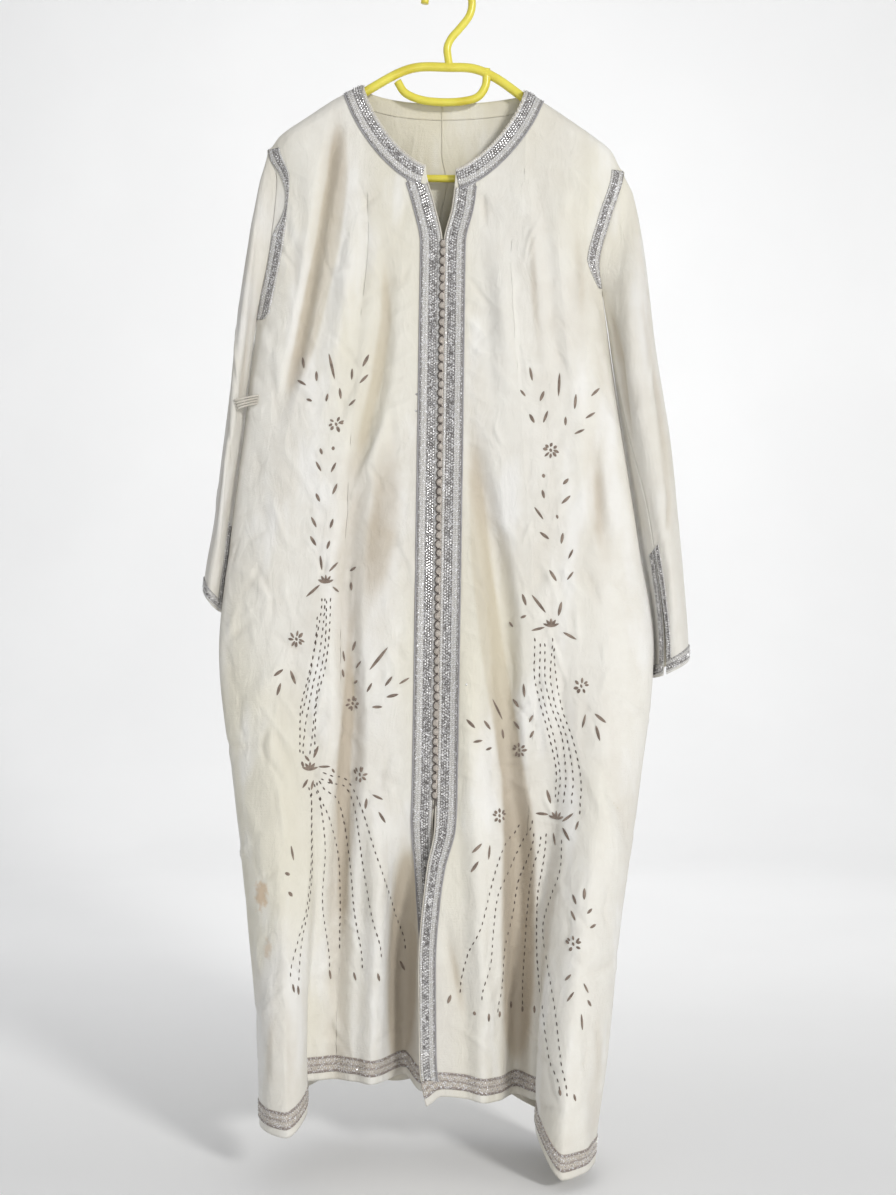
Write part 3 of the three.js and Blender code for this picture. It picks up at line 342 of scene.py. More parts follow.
# every stitched form is a generic leaf, flower or running line; tables give its place in x and z, its
# length and the way it points in degrees from straight up
leaves = {
    "right": [
        (-189, -510, 17, 14), (-190, -537, 16, 67), (-172, -528, 14, 0), (-151, -514, 35, 8),
        (-126, -524, 18, 0), (-108, -507, 20, -28), (-110, -532, 18, -40), (-141, -550, 17, 10),
        (-159, -556, 13, -15), (-125, -562, 14, -47), (-183, -559, 9, 72), (-166, -626, 9, 20),
        (-149, -623, 6, 0), (-168, -646, 16, 28), (-150, -648, 16, -25), (-170, -686, 14, 25),
        (-146, -676, 16, -28), (-175, -719, 17, 28), (-153, -721, 16, -22), (-176, -743, 16, 30),
        (-155, -749, 13, -20), (-166, -772, 21, 12), (-150, -777, 21, -45), (-175, -809, 26, -48),
        (-147, -806, 16, 62), (-123, -781, 14, -68), (-128, -801, 13, 0), (-183, -1026, 10, 35),
        (-170, -1018, 17, -20), (-188, -1033, 8, 20), (-160, -1037, 18, -80), (-184, -1058, 14, -35),
        (-177, -1061, 14, -10), (-150, -1043, 8, 45), (-153, -1055, 10, 40), (-197, -1312, 14, 8),
        (-190, -1317, 13, 10), (-155, -1313, 14, 12), (-123, -1314, 14, 12), (-91, -1312, 14, 14),
        (-61, -1307, 17, 28), (-200, -1146, 21, 10), (-206, -1171, 9, 70), (-201, -1197, 10, 52),
        (-219, -914, 17, -50), (-200, -921, 20, 15), (-220, -936, 20, -20), (-124, -879, 16, -15),
        (-136, -893, 17, 8), (-138, -917, 13, 20), (-117, -905, 16, -50), (-120, -928, 9, -60),
        (-91, -897, 44, -35), (-102, -934, 14, -30), (-77, -925, 18, -30), (-57, -926, 17, -65),
        (-72, -944, 17, -85), (-91, -958, 14, 88), (-91, -1077, 18, 70), (-106, -1086, 16, -5),
        (-86, -1103, 18, 35),
    ],
    "left": [
        (108, -524, 20, 12), (99, -548, 12, 45), (123, -554, 16, -25), (145, -539, 36, -2),
        (167, -562, 21, -6), (192, -549, 17, -40), (186, -578, 18, -62), (172, -600, 16, -62),
        (108, -583, 16, 35), (129, -582, 17, -28), (153, -586, 14, 0), (125, -659, 6, 10),
        (153, -665, 12, -45), (125, -682, 12, 12), (153, -690, 17, -50), (119, -708, 23, 35),
        (143, -712, 6, 20), (124, -737, 18, 50), (149, -739, 17, -12), (158, -760, 16, -25),
        (136, -789, 18, 25), (158, -789, 16, -35), (99, -818, 17, 20), (117, -825, 31, 38),
        (146, -831, 23, -15), (116, -858, 18, -75), (159, -867, 23, 62), (99, -842, 9, -65), (83, -852, 9, 40),
        (132, -1077, 21, 15), (123, -1101, 18, 88), (155, -1102, 21, -60), (153, -1123, 23, 35),
        (138, -1131, 18, 12), (166, -1111, 13, -15), (1, -1339, 13, -25), (52, -1361, 13, -5),
        (83, -1356, 12, 0), (113, -1359, 12, -2), (35, -1356, 6, 10), (68, -1360, 10, -8), (98, -1363, 9, 0),
        (159, -1446, 10, 10), (141, -1437, 9, 8), (29, -981, 16, 50), (51, -983, 16, 38), (63, -962, 34, 38),
        (89, -956, 17, 40), (90, -982, 16, 40), (72, -995, 16, 15), (107, -975, 13, -22), (108, -996, 13, -35),
        (37, -1003, 14, -80), (52, -1012, 10, -65), (99, -938, 18, 0), (40, -1141, 21, -50),
        (53, -1146, 20, -3), (34, -1165, 18, -35), (175, -977, 20, -15), (197, -973, 21, 55),
        (192, -992, 22, 15), (173, -1193, 17, -5), (160, -1202, 16, 25), (159, -1222, 16, 25),
        (181, -1217, 10, -50), (184, -1235, 10, -60), (151, -1298, 14, -50), (156, -1321, 16, -30),
        (175, -1311, 16, 28), (177, -1330, 12, 35), (168, -1352, 21, 8),
    ],
}
flowers = {
    "right": [(-146, -591, 11), (-197, -871, 11), (-125, -956, 10), (-115, -1048, 11)],
    "left": [(134, -625, 11), (93, -1016, 10), (67, -1101, 10), (173, -932, 11), (159, -1257, 11)],
}
# running stitches: each line is a few points that it passes
runs = {
    "right": [
        [(-164, -820), (-171, -872), (-181, -918), (-192, -970), (-192, -1016)],
        [(-160, -820), (-166, -885), (-177, -938), (-186, -990), (-188, -1018)],
        [(-158, -823), (-159, -872), (-170, -938), (-177, -1003), (-179, -1018)],
        [(-153, -820), (-154, -859), (-159, -905), (-171, -957), (-173, -1016)],
        [(-170, -844), (-176, -898), (-185, -951), (-189, -966)],
        [(-180, -1065), (-177, -1081), (-177, -1146), (-181, -1211), (-192, -1257), (-200, -1296)],
        [(-177, -1063), (-176, -1159), (-179, -1211), (-188, -1264), (-190, -1303)],
        [(-173, -1061), (-166, -1081), (-160, -1146), (-164, -1211), (-156, -1300)],
        [(-170, -1059), (-154, -1107), (-143, -1172), (-142, -1224), (-143, -1277)],
        [(-166, -1057), (-145, -1081), (-133, -1133), (-126, -1185), (-123, -1224), (-112, -1300)],
        [(-163, -1053), (-134, -1066), (-120, -1101), (-112, -1159), (-99, -1231), (-87, -1283)],
        [(-160, -1045), (-136, -1054), (-117, -1081), (-95, -1146), (-82, -1185), (-69, -1238), (-57, -1283)],
    ],
    "left": [
        [(113, -872), (112, -912), (119, -951), (133, -1003), (141, -1048), (140, -1075)],
        [(120, -879), (119, -918), (126, -957), (140, -1009), (146, -1055), (143, -1081)],
        [(126, -879), (126, -918), (132, -951), (149, -1003), (153, -1055), (150, -1081)],
        [(136, -872), (133, -918), (138, -951), (155, -1003), (162, -1055), (160, -1081)],
        [(138, -885), (141, -925), (149, -964), (164, -1009), (172, -1061), (170, -1094)],
        [(93, -1118), (74, -1140), (64, -1166), (55, -1198), (43, -1244), (25, -1283), (16, -1329)],
        [(110, -1110), (99, -1136), (83, -1170), (65, -1205), (59, -1251), (56, -1290), (44, -1335)],
        [(112, -1127), (104, -1162), (93, -1192), (85, -1238), (74, -1277), (70, -1329), (65, -1355)],
        [(121, -1131), (111, -1172), (106, -1211), (102, -1277), (99, -1342), (99, -1355)],
        [(128, -1127), (125, -1159), (117, -1211), (116, -1264), (121, -1342), (128, -1401), (140, -1433)],
        [(147, -1133), (146, -1159), (132, -1211), (124, -1251), (128, -1290), (136, -1342), (142, -1401),
         (149, -1440)],
    ],
}
# the two places on each side where the stems are tied
ties = {"right": [(-159, -798), (-179, -1041)], "left": [(134, -855), (141, -1105)]}

print("creases")
# the smaller creases: a line of x and z, its width to each side, and how far it stands out
creases = {
    "right": [
        ([(-102, -304), (-98, -376), (-101, -455), (-107, -494)], 12, 9, 3.0),
        ([(-135, -383), (-131, -428), (-132, -474)], 8, 8, 2.5),
        ([(-89, -330), (-78, -402), (-81, -481), (-93, -559), (-122, -664)], 10, 10, -3.0),
        ([(-67, -550), (-91, -608), (-119, -668), (-150, -751)], 9, 6, 3.5),
        ([(-63, -598), (-99, -716), (-128, -847)], 18, 18, -3.5),
        ([(-154, -821), (-152, -951), (-165, -1082), (-170, -1213), (-165, -1317)], 8, 20, 5.0),
        ([(-123, -821), (-125, -951), (-137, -1082), (-144, -1213), (-135, -1300)], 11, 9, -5.0),
        ([(-102, -1056), (-94, -1147), (-89, -1239), (-95, -1334)], 12, 12, 4.5),
        ([(-47, -1147), (-58, -1213), (-63, -1300), (-65, -1386)], 14, 14, -5.0),
        ([(-163, -1324), (-152, -1369), (-141, -1411)], 7, 7, 3.0),
        ([(-206, -886), (-243, -938), (-272, -990)], 12, 12, 3.0),
        ([(-288, -768), (-259, -788), (-222, -826)], 7, 7, 2.0),
        ([(-272, -1069), (-243, -1121), (-233, -1213)], 10, 10, 2.5),
        ([(-230, -1291), (-223, -1396), (-226, -1500)], 10, 10, 4.0),
        ([(-203, -1324), (-197, -1409), (-199, -1490)], 7, 7, -3.0),
        ([(-193, -206), (-182, -272), (-178, -350)], 12, 12, 2.0),
        ([(-214, -317), (-203, -363), (-199, -428)], 8, 8, -2.5),
        ([(-251, -468), (-227, -496), (-214, -549)], 9, 9, 2.5),
    ],
    "left": [
        ([(37, -285), (46, -304), (55, -334)], 6, 6, -1.6),
        ([(72, -379), (73, -442), (81, -487), (90, -523)], 10, 10, 3.0),
        ([(81, -465), (90, -494), (98, -528)], 5, 5, -1.8),
        ([(116, -252), (119, -324), (122, -389), (131, -448), (142, -510)], 12, 12, 3.5),
        ([(170, -252), (180, -278), (186, -304)], 14, 14, 2.0),
        ([(31, -566), (37, -625), (50, -690), (63, -742), (68, -821), (74, -925), (84, -1043)], 16, 16, -4.5),
        ([(85, -1082), (91, -1213), (94, -1317), (90, -1435)], 18, 14, -5.0),
        ([(183, -592), (195, -683), (208, -776)], 12, 12, -3.0),
        ([(205, -781), (227, -807), (248, -840)], 6, 6, -2.0),
        ([(-5, -1226), (5, -1291), (26, -1369)], 9, 9, -3.5),
        ([(39, -1245), (47, -1317), (56, -1390)], 10, 8, 4.0),
        ([(166, -1017), (199, -1082), (227, -1193)], 9, 9, 2.5),
        ([(186, -1010), (214, -1069), (238, -1147)], 7, 7, -1.8),
        ([(154, -1273), (186, -1294), (206, -1290), (226, -1273)], 5, 5, -2.2),
        ([(159, -1435), (170, -1487), (175, -1552)], 9, 9, 3.5),
        ([(188, -1409), (186, -1474), (186, -1546)], 8, 8, -2.5),
        ([(251, -768), (218, -788), (186, -826)], 8, 8, 2.0),
        ([(183, -330), (170, -379), (165, -442)], 9, 9, -2.5),
        ([(201, -428), (186, -474), (178, -533)], 9, 9, 2.5),
        ([(120, -873), (131, -977), (146, -1082)], 14, 10, 3.0),
    ],
    "back": [
        ([(-60, -190), (-70, -300), (-92, -420)], 12, 12, 2.5),
        ([(60, -195), (72, -300), (96, -440)], 12, 12, 2.5),
        ([(-6, -330), (-12, -520), (-16, -760)], 10, 14, -2.5),
        ([(120, -420), (98, -600), (84, -820)], 14, 14, 3.0),
        ([(-140, -430), (-104, -620), (-90, -860)], 14, 14, 3.5),
        ([(-200, -470), (-168, -560), (-120, -640)], 9, 9, 2.2),
        ([(180, -440), (150, -540), (110, -620)], 9, 9, 2.2),
        ([(-110, -900), (-118, -1100), (-112, -1400)], 13, 9, -4.5),
        ([(66, -880), (70, -1120), (62, -1420)], 10, 14, -4.5),
        ([(160, -900), (176, -1150), (170, -1450)], 14, 10, 4.0),
        ([(-212, -960), (-204, -1200), (-196, -1430)], 10, 12, 3.5),
        ([(-30, -1000), (-22, -1200), (-26, -1440)], 9, 9, 3.0),
    ],
}


# painted shade and painted highlight in runs along the satin's folds: a line, its widths, and how much darker it is
# painted, lighter where negative
paintedFoldShades = {
    "right": [
        ([(-144, -173), (-148, -262), (-161, -351), (-180, -439), (-190, -484), (-215, -572)], 18, 13, 1.1),
        ([(-86, -342), (-80, -450), (-92, -528), (-124, -661)], 9, 12, 0.6),
        ([(-81, -572), (-81, -688), (-97, -794), (-114, -874)], 30, 26, 0.55),
        ([(-129, -821), (-130, -954), (-137, -1043), (-138, -1180), (-140, -1309)], 11, 10, 0.7),
        ([(-50, -1130), (-57, -1220), (-62, -1309), (-64, -1397), (-64, -1460)], 20, 18, 1.0),
        ([(-232, -600), (-220, -700), (-206, -800)], 16, 16, 0.3),
        ([(-101, -300), (-101, -380), (-104, -450)], 9, 9, -0.5),
        ([(-170, -860), (-168, -1010), (-174, -1200)], 12, 14, -0.4),
        ([(-222, -1290), (-226, -1380), (-230, -1480)], 9, 9, 0.35),
    ],
    "left": [
        ([(33, -560), (36, -661), (43, -767), (58, -887), (86, -1053), (92, -1109), (92, -1286), (90, -1460)],
         15, 15, 1.0),
        ([(92, -1060), (93, -1200), (91, -1440)], 24, 22, 0.7),
        ([(198, -580), (198, -688), (198, -790)], 14, 14, 0.4),
        ([(-7, -1230), (10, -1300), (25, -1390)], 9, 9, 0.4),
        ([(109, -289), (113, -422), (122, -528)], 9, 9, 0.4),
        ([(165, -289), (175, -400), (176, -500)], 12, 12, 0.35),
        ([(76, -340), (80, -440), (92, -540)], 10, 10, -0.5),
        ([(140, -260), (138, -360), (140, -460)], 12, 12, -0.5),
        ([(186, -1290), (192, -1400), (186, -1500)], 10, 10, 0.35),
    ],
    "back": [
        ([(-120, -300), (-148, -800), (-165, -1400)], 26, 22, 0.5),
        ([(20, -460), (22, -900), (20, -1440)], 24, 24, 0.45),
        ([(-6, -220), (-8, -500), (-10, -900)], 8, 8, 0.3),
        ([(130, -330), (100, -620), (88, -840)], 12, 12, -0.35),
    ],
}


def scatterCreases(table, boxX, boxZ, count, tilt, height):
    # short seeded creases, mostly upright, each a line of three points bowed a little
    x, z = rng.uniform(*boxX, count), rng.uniform(*boxZ, count)
    lean, long = rng.normal(0, tilt, count), rng.uniform(28, 90, count)
    bow, wide = rng.normal(0, 4, count), rng.uniform(2.6, 6.5, count)
    up = rng.uniform(0.3, 1, count) * height * np.where(rng.random(count) < 0.5, -1, 1)
    for i in range(count):
        dx, dz = math.sin(lean[i]) * long[i] / 2, math.cos(lean[i]) * long[i] / 2
        line = [(x[i] - dx, z[i] + dz), (x[i] + bow[i], z[i]), (x[i] + dx, z[i] - dz)]
        table.append((line, wide[i], wide[i] * rng.uniform(0.6, 1.5), up[i]))


scatterCreases(creases["right"], (-290, -50), (-1440, -260), 170, 0.6, 2.1)
scatterCreases(creases["left"], (30, 250), (-1480, -280), 170, 0.6, 2.1)
scatterCreases(creases["back"], (-270, 240), (-1440, -230), 190, 0.6, 2.0)
# short pulls beside the front braid, where the closure gathers the cloth
for k, z in enumerate(np.arange(-400, -1060, -31.0)):
    lift = (0.9, 1.4, 0.7, 1.2)[k % 4]
    x = -41 - 0.012 * (-400 - z)
    creases["right"].append(([(x, z), (x - 15, z - 8), (x - 33 - 6 * (k % 3), z - 22)], 3.5, 3, lift))
    x = 19 - 0.014 * (-400 - z)
    creases["left"].append(([(x, z + 9), (x + 14, z + 4), (x + 30 + 7 * (k % 2), z - 8)], 3, 3.5, lift))


padding = {"leafRise": 1.3, "leafSink": -1.5, "lineRise": 0.7, "lineSink": -0.9}
for side in signOf:
    # the cloth puffs up round each stitched form and is drawn in along it, and small pulls run out from it
    for x, z, long, angle in leaves[side]:
        dx, dz = -math.sin(math.radians(angle)) * long * 0.6, math.cos(math.radians(angle)) * long * 0.6
        line = [(x - dx, z - dz), (x + dx, z + dz)]
        creases[side].append((line, 8, 8, padding["leafRise"]))
        creases[side].append((line, 2.8, 2.8, padding["leafSink"]))
        swing = rng.uniform(-0.5, 0.5)
        pull = [(x + dx, z + dz), (x + dx * 2 + dz * swing, z + dz * 2 - dx * swing)]
        creases[side].append((pull, 2.5, 2.5, rng.uniform(-1.1, -0.5)))
    for x, z, size in flowers[side]:
        creases[side].append(([(x, z - size), (x, z + size)], 11, 11, 1.8))
        creases[side].append(([(x, z - 4), (x, z + 4)], 3.5, 3.5, -1.8))
    for line in runs[side]:
        creases[side].append((line, 5.5, 5.5, padding["lineRise"]))
        creases[side].append((line, 2.4, 2.4, padding["lineSink"]))
    for x, z in ties[side]:
        creases[side].append(([(x - 16, z), (x + 16, z)], 7, 7, 2.2))
        creases[side].append(([(x - 14, z), (x + 14, z)], 3, 3, -2.4))
        for k in range(7):
            a = rng.uniform(-math.pi, math.pi)
            reach = rng.uniform(18, 34)
            line = [(x + far * math.cos(a), z + far * math.sin(a)) for far in (6, reach)]
            creases[side].append((line, 3, 3, rng.uniform(-1.4, 1.2)))


def creaseRelief(table, x, z):
    # each crease is a bell across its line, with its own width on either side, fading to nothing at both ends
    total = np.zeros(x.shape)
    for line, widthOne, widthTwo, height in table:
        points = np.array(line, float)
        runs = np.diff(points, axis=0)
        lengths = np.hypot(*runs.T)
        reach = 2.6 * max(widthOne, widthTwo)
        low, high = points.min(0) - reach, points.max(0) + reach
        near = (x > low[0]) & (x < high[0]) & (z > low[1]) & (z < high[1])
        if not near.any():
            continue
        px, pz = x[near], z[near]
        best, side, along, start = np.full(px.shape, 1e9), np.zeros(px.shape), np.zeros(px.shape), 0.0
        for (ax, az), (dx, dz), length in zip(points, runs, lengths):
            t = np.clip(((px - ax) * dx + (pz - az) * dz) / length**2, 0, 1)
            ox, oz = px - ax - t * dx, pz - az - t * dz
            far = np.hypot(ox, oz)
            closer = far < best
            best = np.where(closer, far, best)
            side = np.where(closer, dx * oz - dz * ox, side)
            along = np.where(closer, start + t * length, along)
            start += length
        width = np.where(side > 0, widthOne, widthTwo)
        fade = np.sin(math.pi * np.clip(along / start, 0, 1)) ** 0.7
        total[near] += height * fade * np.exp(-((best / width) ** 2))
    return total


def gridNormals(points, facing):
    # the cross product of the steps across and down, as unit vectors
    across, down = np.gradient(points, axis=1), np.gradient(points, axis=0)
    return unitRows(np.cross(across, down) * facing)


rowPower = 1.15  # how much closer together the rows lie at the top


def clothPanel(share, top, bottom, rows, pointAt, facing, table, pinched):
    # a grid over one panel: rows fall from its top edge to its hem, close together at the top; the creases
    # push it out along its own normals, less near its sewn edges
    fall = np.linspace(0, 1, rows)[:, None] ** rowPower
    z = top[None] + (bottom - top)[None] * fall
    base = pointAt(np.broadcast_to(share, z.shape), z)
    normals = gridNormals(base, facing)
    relief = creaseRelief(table, base[..., 0], z)
    hold = ease((top[None] - z) / 26) * pinched[None]
    points = base + normals * (relief * hold)[..., None]
    return {
        "points": points, "normals": gridNormals(points, facing), "share": share, "top": top, "bottom": bottom,
        "relief": relief * hold,
    }


frontShares = np.unique(np.concatenate([np.linspace(0, 1, 134), [0.372, 0.385, 0.392, 0.396, 0.3985, 0.4, 0.404]]))
backShares = np.unique(np.concatenate([np.linspace(0, 1, 165), [0.268, 0.2701, 0.7214, 0.7232]]))
panels = {}
for side in signOf:
    bottom = through(hem[side][:, 0], hem[side][:, 1], frontShares)
    panels[side] = clothPanel(
        frontShares, frontTop(side, frontShares), bottom, 461, lambda s, z, side=side: frontPoint(side, s, z),
        -signOf[side], creases[side], ease((1 - frontShares) / 0.1) * ease(0.25 + frontShares / 0.06),
    )
panels["back"] = clothPanel(
    backShares, backTop(backAcross(backShares)), through(hem["back"][:, 0], hem["back"][:, 1], backShares), 311,
    backPoint, 1.0, creases["back"], ease(np.minimum(backShares, 1 - backShares) / 0.05),
)


def sampled(grid, row, column):
    # values between the four grid points round a place
    r = np.clip(np.floor(row).astype(int), 0, grid.shape[0] - 2)
    c = np.clip(np.floor(column).astype(int), 0, grid.shape[1] - 2)
    tr, tc = (row - r)[..., None], (column - c)[..., None]
    high = grid[r, c] * (1 - tc) + grid[r, c + 1] * tc
    low = grid[r + 1, c] * (1 - tc) + grid[r + 1, c + 1] * tc
    return high * (1 - tr) + low * tr


def placeAndNormal(cloth, row, column):
    # the point and the normal of a creased surface between its grid points
    return sampled(cloth["points"], row, column), unitRows(sampled(cloth["normals"], row, column))


def onPanel(name, share, z):
    # the point and the normal of a panel's creased surface at a share of its width and a height
    panel = panels[name]
    column = np.interp(share, panel["share"], np.arange(len(panel["share"])))
    top, bottom = (np.interp(share, panel["share"], panel[k]) for k in ("top", "bottom"))
    fall = np.clip((top - z) / (top - bottom), 0, 1) ** (1 / rowPower)
    return placeAndNormal(panel, fall * (panel["points"].shape[0] - 1), column)


def atPlace(name, x, z):
    # the same at an x and a height: the share is found by halving
    x, z = np.broadcast_arrays(np.asarray(x, float), np.asarray(z, float))
    low, high = np.zeros(x.shape), np.ones(x.shape)
    outwards = -1 if name == "right" else 1
    for _ in range(26):
        middle = (low + high) / 2
        short = (onPanel(name, middle, z)[0][..., 0] - x) * outwards < 0
        low, high = np.where(short, middle, low), np.where(short, high, middle)
    return onPanel(name, (low + high) / 2, z)


print("mesh tools")


def meshPiece(name, points, faces, materials, uv=None, faceMaterial=None, paintedShade=None, smooth=True):
    # vertices as one array, faces as a list of index arrays of equal length, one UV a vertex
    mesh = bpy.data.meshes.new(name)
    groups = [np.asarray(f, np.int32) for f in faces if len(f)]
    loops = np.concatenate([g.ravel() for g in groups])
    sizes = np.concatenate([np.full(len(g), g.shape[1], np.int32) for g in groups])
    mesh.vertices.add(len(points))
    mesh.vertices.foreach_set("co", (np.asarray(points, float) * mm).astype(np.float32).ravel())
    mesh.loops.add(len(loops))
    mesh.loops.foreach_set("vertex_index", loops)
    mesh.polygons.add(len(sizes))
    mesh.polygons.foreach_set("loop_start", np.concatenate([[0], np.cumsum(sizes)[:-1]]).astype(np.int32))
    mesh.polygons.foreach_set("use_smooth", np.full(len(sizes), smooth))
    if faceMaterial is not None:
        mesh.polygons.foreach_set("material_index", np.asarray(faceMaterial, np.int32))
    mesh.update(calc_edges=True)
    if uv is not None:
        layer = mesh.uv_layers.new(name="flat")
        layer.data.foreach_set("uv", np.asarray(uv, np.float32)[loops].ravel())
    # a point attribute of painted shade, which the satin's material reads
    if paintedShade is not None:
        shade = mesh.attributes.new("paintedShade", "FLOAT", "POINT")
        shade.data.foreach_set("value", np.asarray(paintedShade, np.float32).ravel())
    mesh.validate()
    for material in materials:
        mesh.materials.append(material)
    piece = bpy.data.objects.new(name, mesh)
    scene.collection.objects.link(piece)
    return piece


def gridFaces(rows, columns, start=0, wrapColumns=False):
    # the quads of a grid whose points are counted row by row
    across = columns if wrapColumns else columns - 1
    r, c = np.meshgrid(np.arange(rows - 1), np.arange(across), indexing="ij")
    right = (c + 1) % columns
    quads = np.stack([r * columns + c, r * columns + right, (r + 1) * columns + right, (r + 1) * columns + c], -1)
    return quads.reshape(-1, 4) + start


def rimOf(grid):
    # the numbers round the edge of a grid
    return np.concatenate([grid[0, :-1], grid[:-1, -1], grid[-1, :0:-1], grid[:0:-1, 0]])


def shellPiece(name, outer, inner, materials, facing, uv, paintedShade=None, skip=2):
    # a closed wall: the outer grid, the inner grid turned over with every few points only, and a rim of
    # triangle fans round their edges
    rows, columns = outer.shape[:2]
    index = np.arange(rows * columns).reshape(rows, columns)
    sparse = inner[::skip, ::skip]
    few = np.arange(sparse.shape[0] * sparse.shape[1]).reshape(sparse.shape[:2]) + rows * columns
    edge, low = rimOf(index), rimOf(few)
    lowNext, starts = np.roll(low, -1), np.arange(len(low)) * skip
    fans = [np.stack([edge[starts + k], low, edge[(starts + k + 1) % len(edge)]], -1) for k in range(skip)]
    fans.append(np.stack([edge[(starts + skip) % len(edge)], low, lowNext], -1))
    rim = np.concatenate(fans)
    outside = gridFaces(rows, columns)
    inside = gridFaces(*sparse.shape[:2], rows * columns)[:, ::-1]
    if facing < 0:
        outside, inside, rim = outside[:, ::-1], inside[:, ::-1], rim[:, ::-1]
    which = np.concatenate([np.zeros(len(outside)), np.full(len(inside), len(materials) > 1), np.zeros(len(rim))])
    points = np.concatenate([outer.reshape(-1, 3), sparse.reshape(-1, 3)])
    flat = np.concatenate([uv.reshape(-1, 2), uv[::skip, ::skip].reshape(-1, 2)])
    shade = None if paintedShade is None else np.concatenate([paintedShade.ravel(), paintedShade[::skip, ::skip].ravel()])
    return meshPiece(name, points, [np.concatenate([outside, inside]), rim], materials, flat, which, shade)


def flatCoordinates(points):
    # how far each grid point lies across and down the cloth, in metres, measured along the surface
    across = np.linalg.norm(np.diff(points, axis=1), axis=-1).mean(0)
    down = np.linalg.norm(np.diff(points, axis=0), axis=-1).mean(1)
    u, v = np.concatenate([[0], np.cumsum(across)]), np.concatenate([[0], np.cumsum(down)])
    return np.stack(np.meshgrid(u, -v), -1) * mm


def tubeArrays(path, up, radius, sides):
    # a closed tube: a circle carried along the path, square to it, with a point at each end
    along = unitRows(np.gradient(path, axis=0))
    across = unitRows(np.cross(along, up))
    off = np.cross(across, along)
    turn = np.linspace(0, 2 * math.pi, sides, endpoint=False)
    ring = np.cos(turn)[None, :, None] * across[:, None] + np.sin(turn)[None, :, None] * off[:, None]
    body = (path[:, None] + ring * radius).reshape(-1, 3)
    points = np.concatenate([body, path[:1], path[-1:]])
    n, k = len(path), np.arange(sides)
    quads = gridFaces(n, sides, wrapColumns=True)[:, ::-1]
    first = np.stack([np.full(sides, n * sides), (k + 1) % sides, k], -1)[:, ::-1]
    base = (n - 1) * sides
    last = np.stack([np.full(sides, n * sides + 1), base + k, base + (k + 1) % sides], -1)[:, ::-1]
    length = np.concatenate([[0], np.cumsum(np.linalg.norm(np.diff(path, axis=0), axis=-1))]) * mm
    uv = np.stack(np.meshgrid(turn / (2 * math.pi), length), -1)[..., ::-1].reshape(-1, 2)
    uv = np.concatenate([uv, [[0, 0.5], [length[-1], 0.5]]])
    return points, quads, np.concatenate([first, last]), uv


def joinedPiece(name, parts, materials, smooth=True):
    # several sets of points, quads, triangles and UVs as one mesh
    points, quads, tris, uvs, start = [], [], [], [], 0
    for p, q, t, uv in parts:
        points.append(p)
        quads.append(np.asarray(q).reshape(-1, 4) + start)
        tris.append(np.asarray(t).reshape(-1, 3) + start)
        uvs.append(uv)
        start += len(p)
    return meshPiece(name, np.concatenate(points), [np.concatenate(quads), np.concatenate(tris)], materials,
                     np.concatenate(uvs), smooth=smooth)


def scattered(shape, quads, tris, places, across, along, off, size):
    # copies of one small shape, whose points are given along, across and off the surface, set at many places
    size = np.broadcast_to(np.asarray(size, float).reshape(-1, 1) if np.ndim(size) < 2 else size, (len(places), 3))
    local = shape[None] * size[:, None]
    points = (places[:, None] + local[..., :1] * along[:, None] + local[..., 1:2] * across[:, None]
              + local[..., 2:] * off[:, None])
    step = (np.arange(len(places)) * len(shape))[:, None, None]
    uv = np.tile(shape[:, :2] * 0.5 + 0.5, (len(places), 1))
    return points.reshape(-1, 3), (quads[None] + step).reshape(-1, 4), (tris[None] + step).reshape(-1, 3), uv


def facetedStone():
    # a low cut stone: a hexagon at the girdle, a smaller one above it turned half a step, and a flat table
    turn = np.arange(6) * math.pi / 3
    girdle = np.stack([np.cos(turn), np.sin(turn), 0 * turn], -1)
    crown = np.stack([0.58 * np.cos(turn + 0.5), 0.58 * np.sin(turn + 0.5), 0 * turn + 0.75], -1)
    points = np.concatenate([girdle, crown, [[0, 0, 0.9], [0, 0, -0.2]]])
    k, nxt = np.arange(6), (np.arange(6) + 1) % 6
    tris = np.concatenate([
        np.stack([k, nxt, k + 6], -1), np.stack([nxt, nxt + 6, k + 6], -1),
        np.stack([k + 6, nxt + 6, np.full(6, 12)], -1), np.stack([nxt, k, np.full(6, 13)], -1),
    ])
    return points, np.zeros((0, 4), int), tris


def stitchShape(rows, columns, blunt):
    # a small raised stitch: an almond outline with a domed top and a flat underside on the cloth
    t, w = np.linspace(-1, 1, rows), np.linspace(-1, 1, columns)
    half = np.clip(1 - t**2, 0.02, None) ** blunt
    x, y = np.repeat(t[:, None], columns, 1), half[:, None] * w[None]
    z = half[:, None] * (1 - w[None] ** 2) ** 0.5
    topSide = np.stack([x, y, z], -1).reshape(-1, 3)
    under = np.stack([x, y, 0 * x - 0.2], -1).reshape(-1, 3)
    quads = gridFaces(rows, columns)
    count = rows * columns
    edge = rimOf(np.arange(count).reshape(rows, columns))
    after = np.roll(edge, -1)
    rim = np.stack([edge, after, after + count, edge + count], -1)[:, ::-1]
    return (np.concatenate([topSide, under]), np.concatenate([quads[:, ::-1], quads + count, rim]),
            np.zeros((0, 3), int))


print("materials")


def link(tree, a, b):
    tree.links.new(a, b)


def node(tree, kind, values=None, **settings):
    # a new node: a value that is another node's socket is linked, any other is set
    made = tree.nodes.new(kind)
    for key, value in settings.items():
        setattr(made, key, value)
    for key, value in (values or {}).items():
        if isinstance(value, bpy.types.NodeSocket):
            link(tree, value, made.inputs[key])
        else:
            made.inputs[key].default_value = value
    return made


def maths(tree, operation, a, b=None, clamp=False):
    values = {0: a} if b is None else {0: a, 1: b}
    return node(tree, "ShaderNodeMath", values, operation=operation, use_clamp=clamp).outputs[0]


def times(tree, a, b, clamp=False):
    return maths(tree, "MULTIPLY", a, b, clamp)


def plus(tree, a, b, clamp=False):
    return maths(tree, "ADD", a, b, clamp)


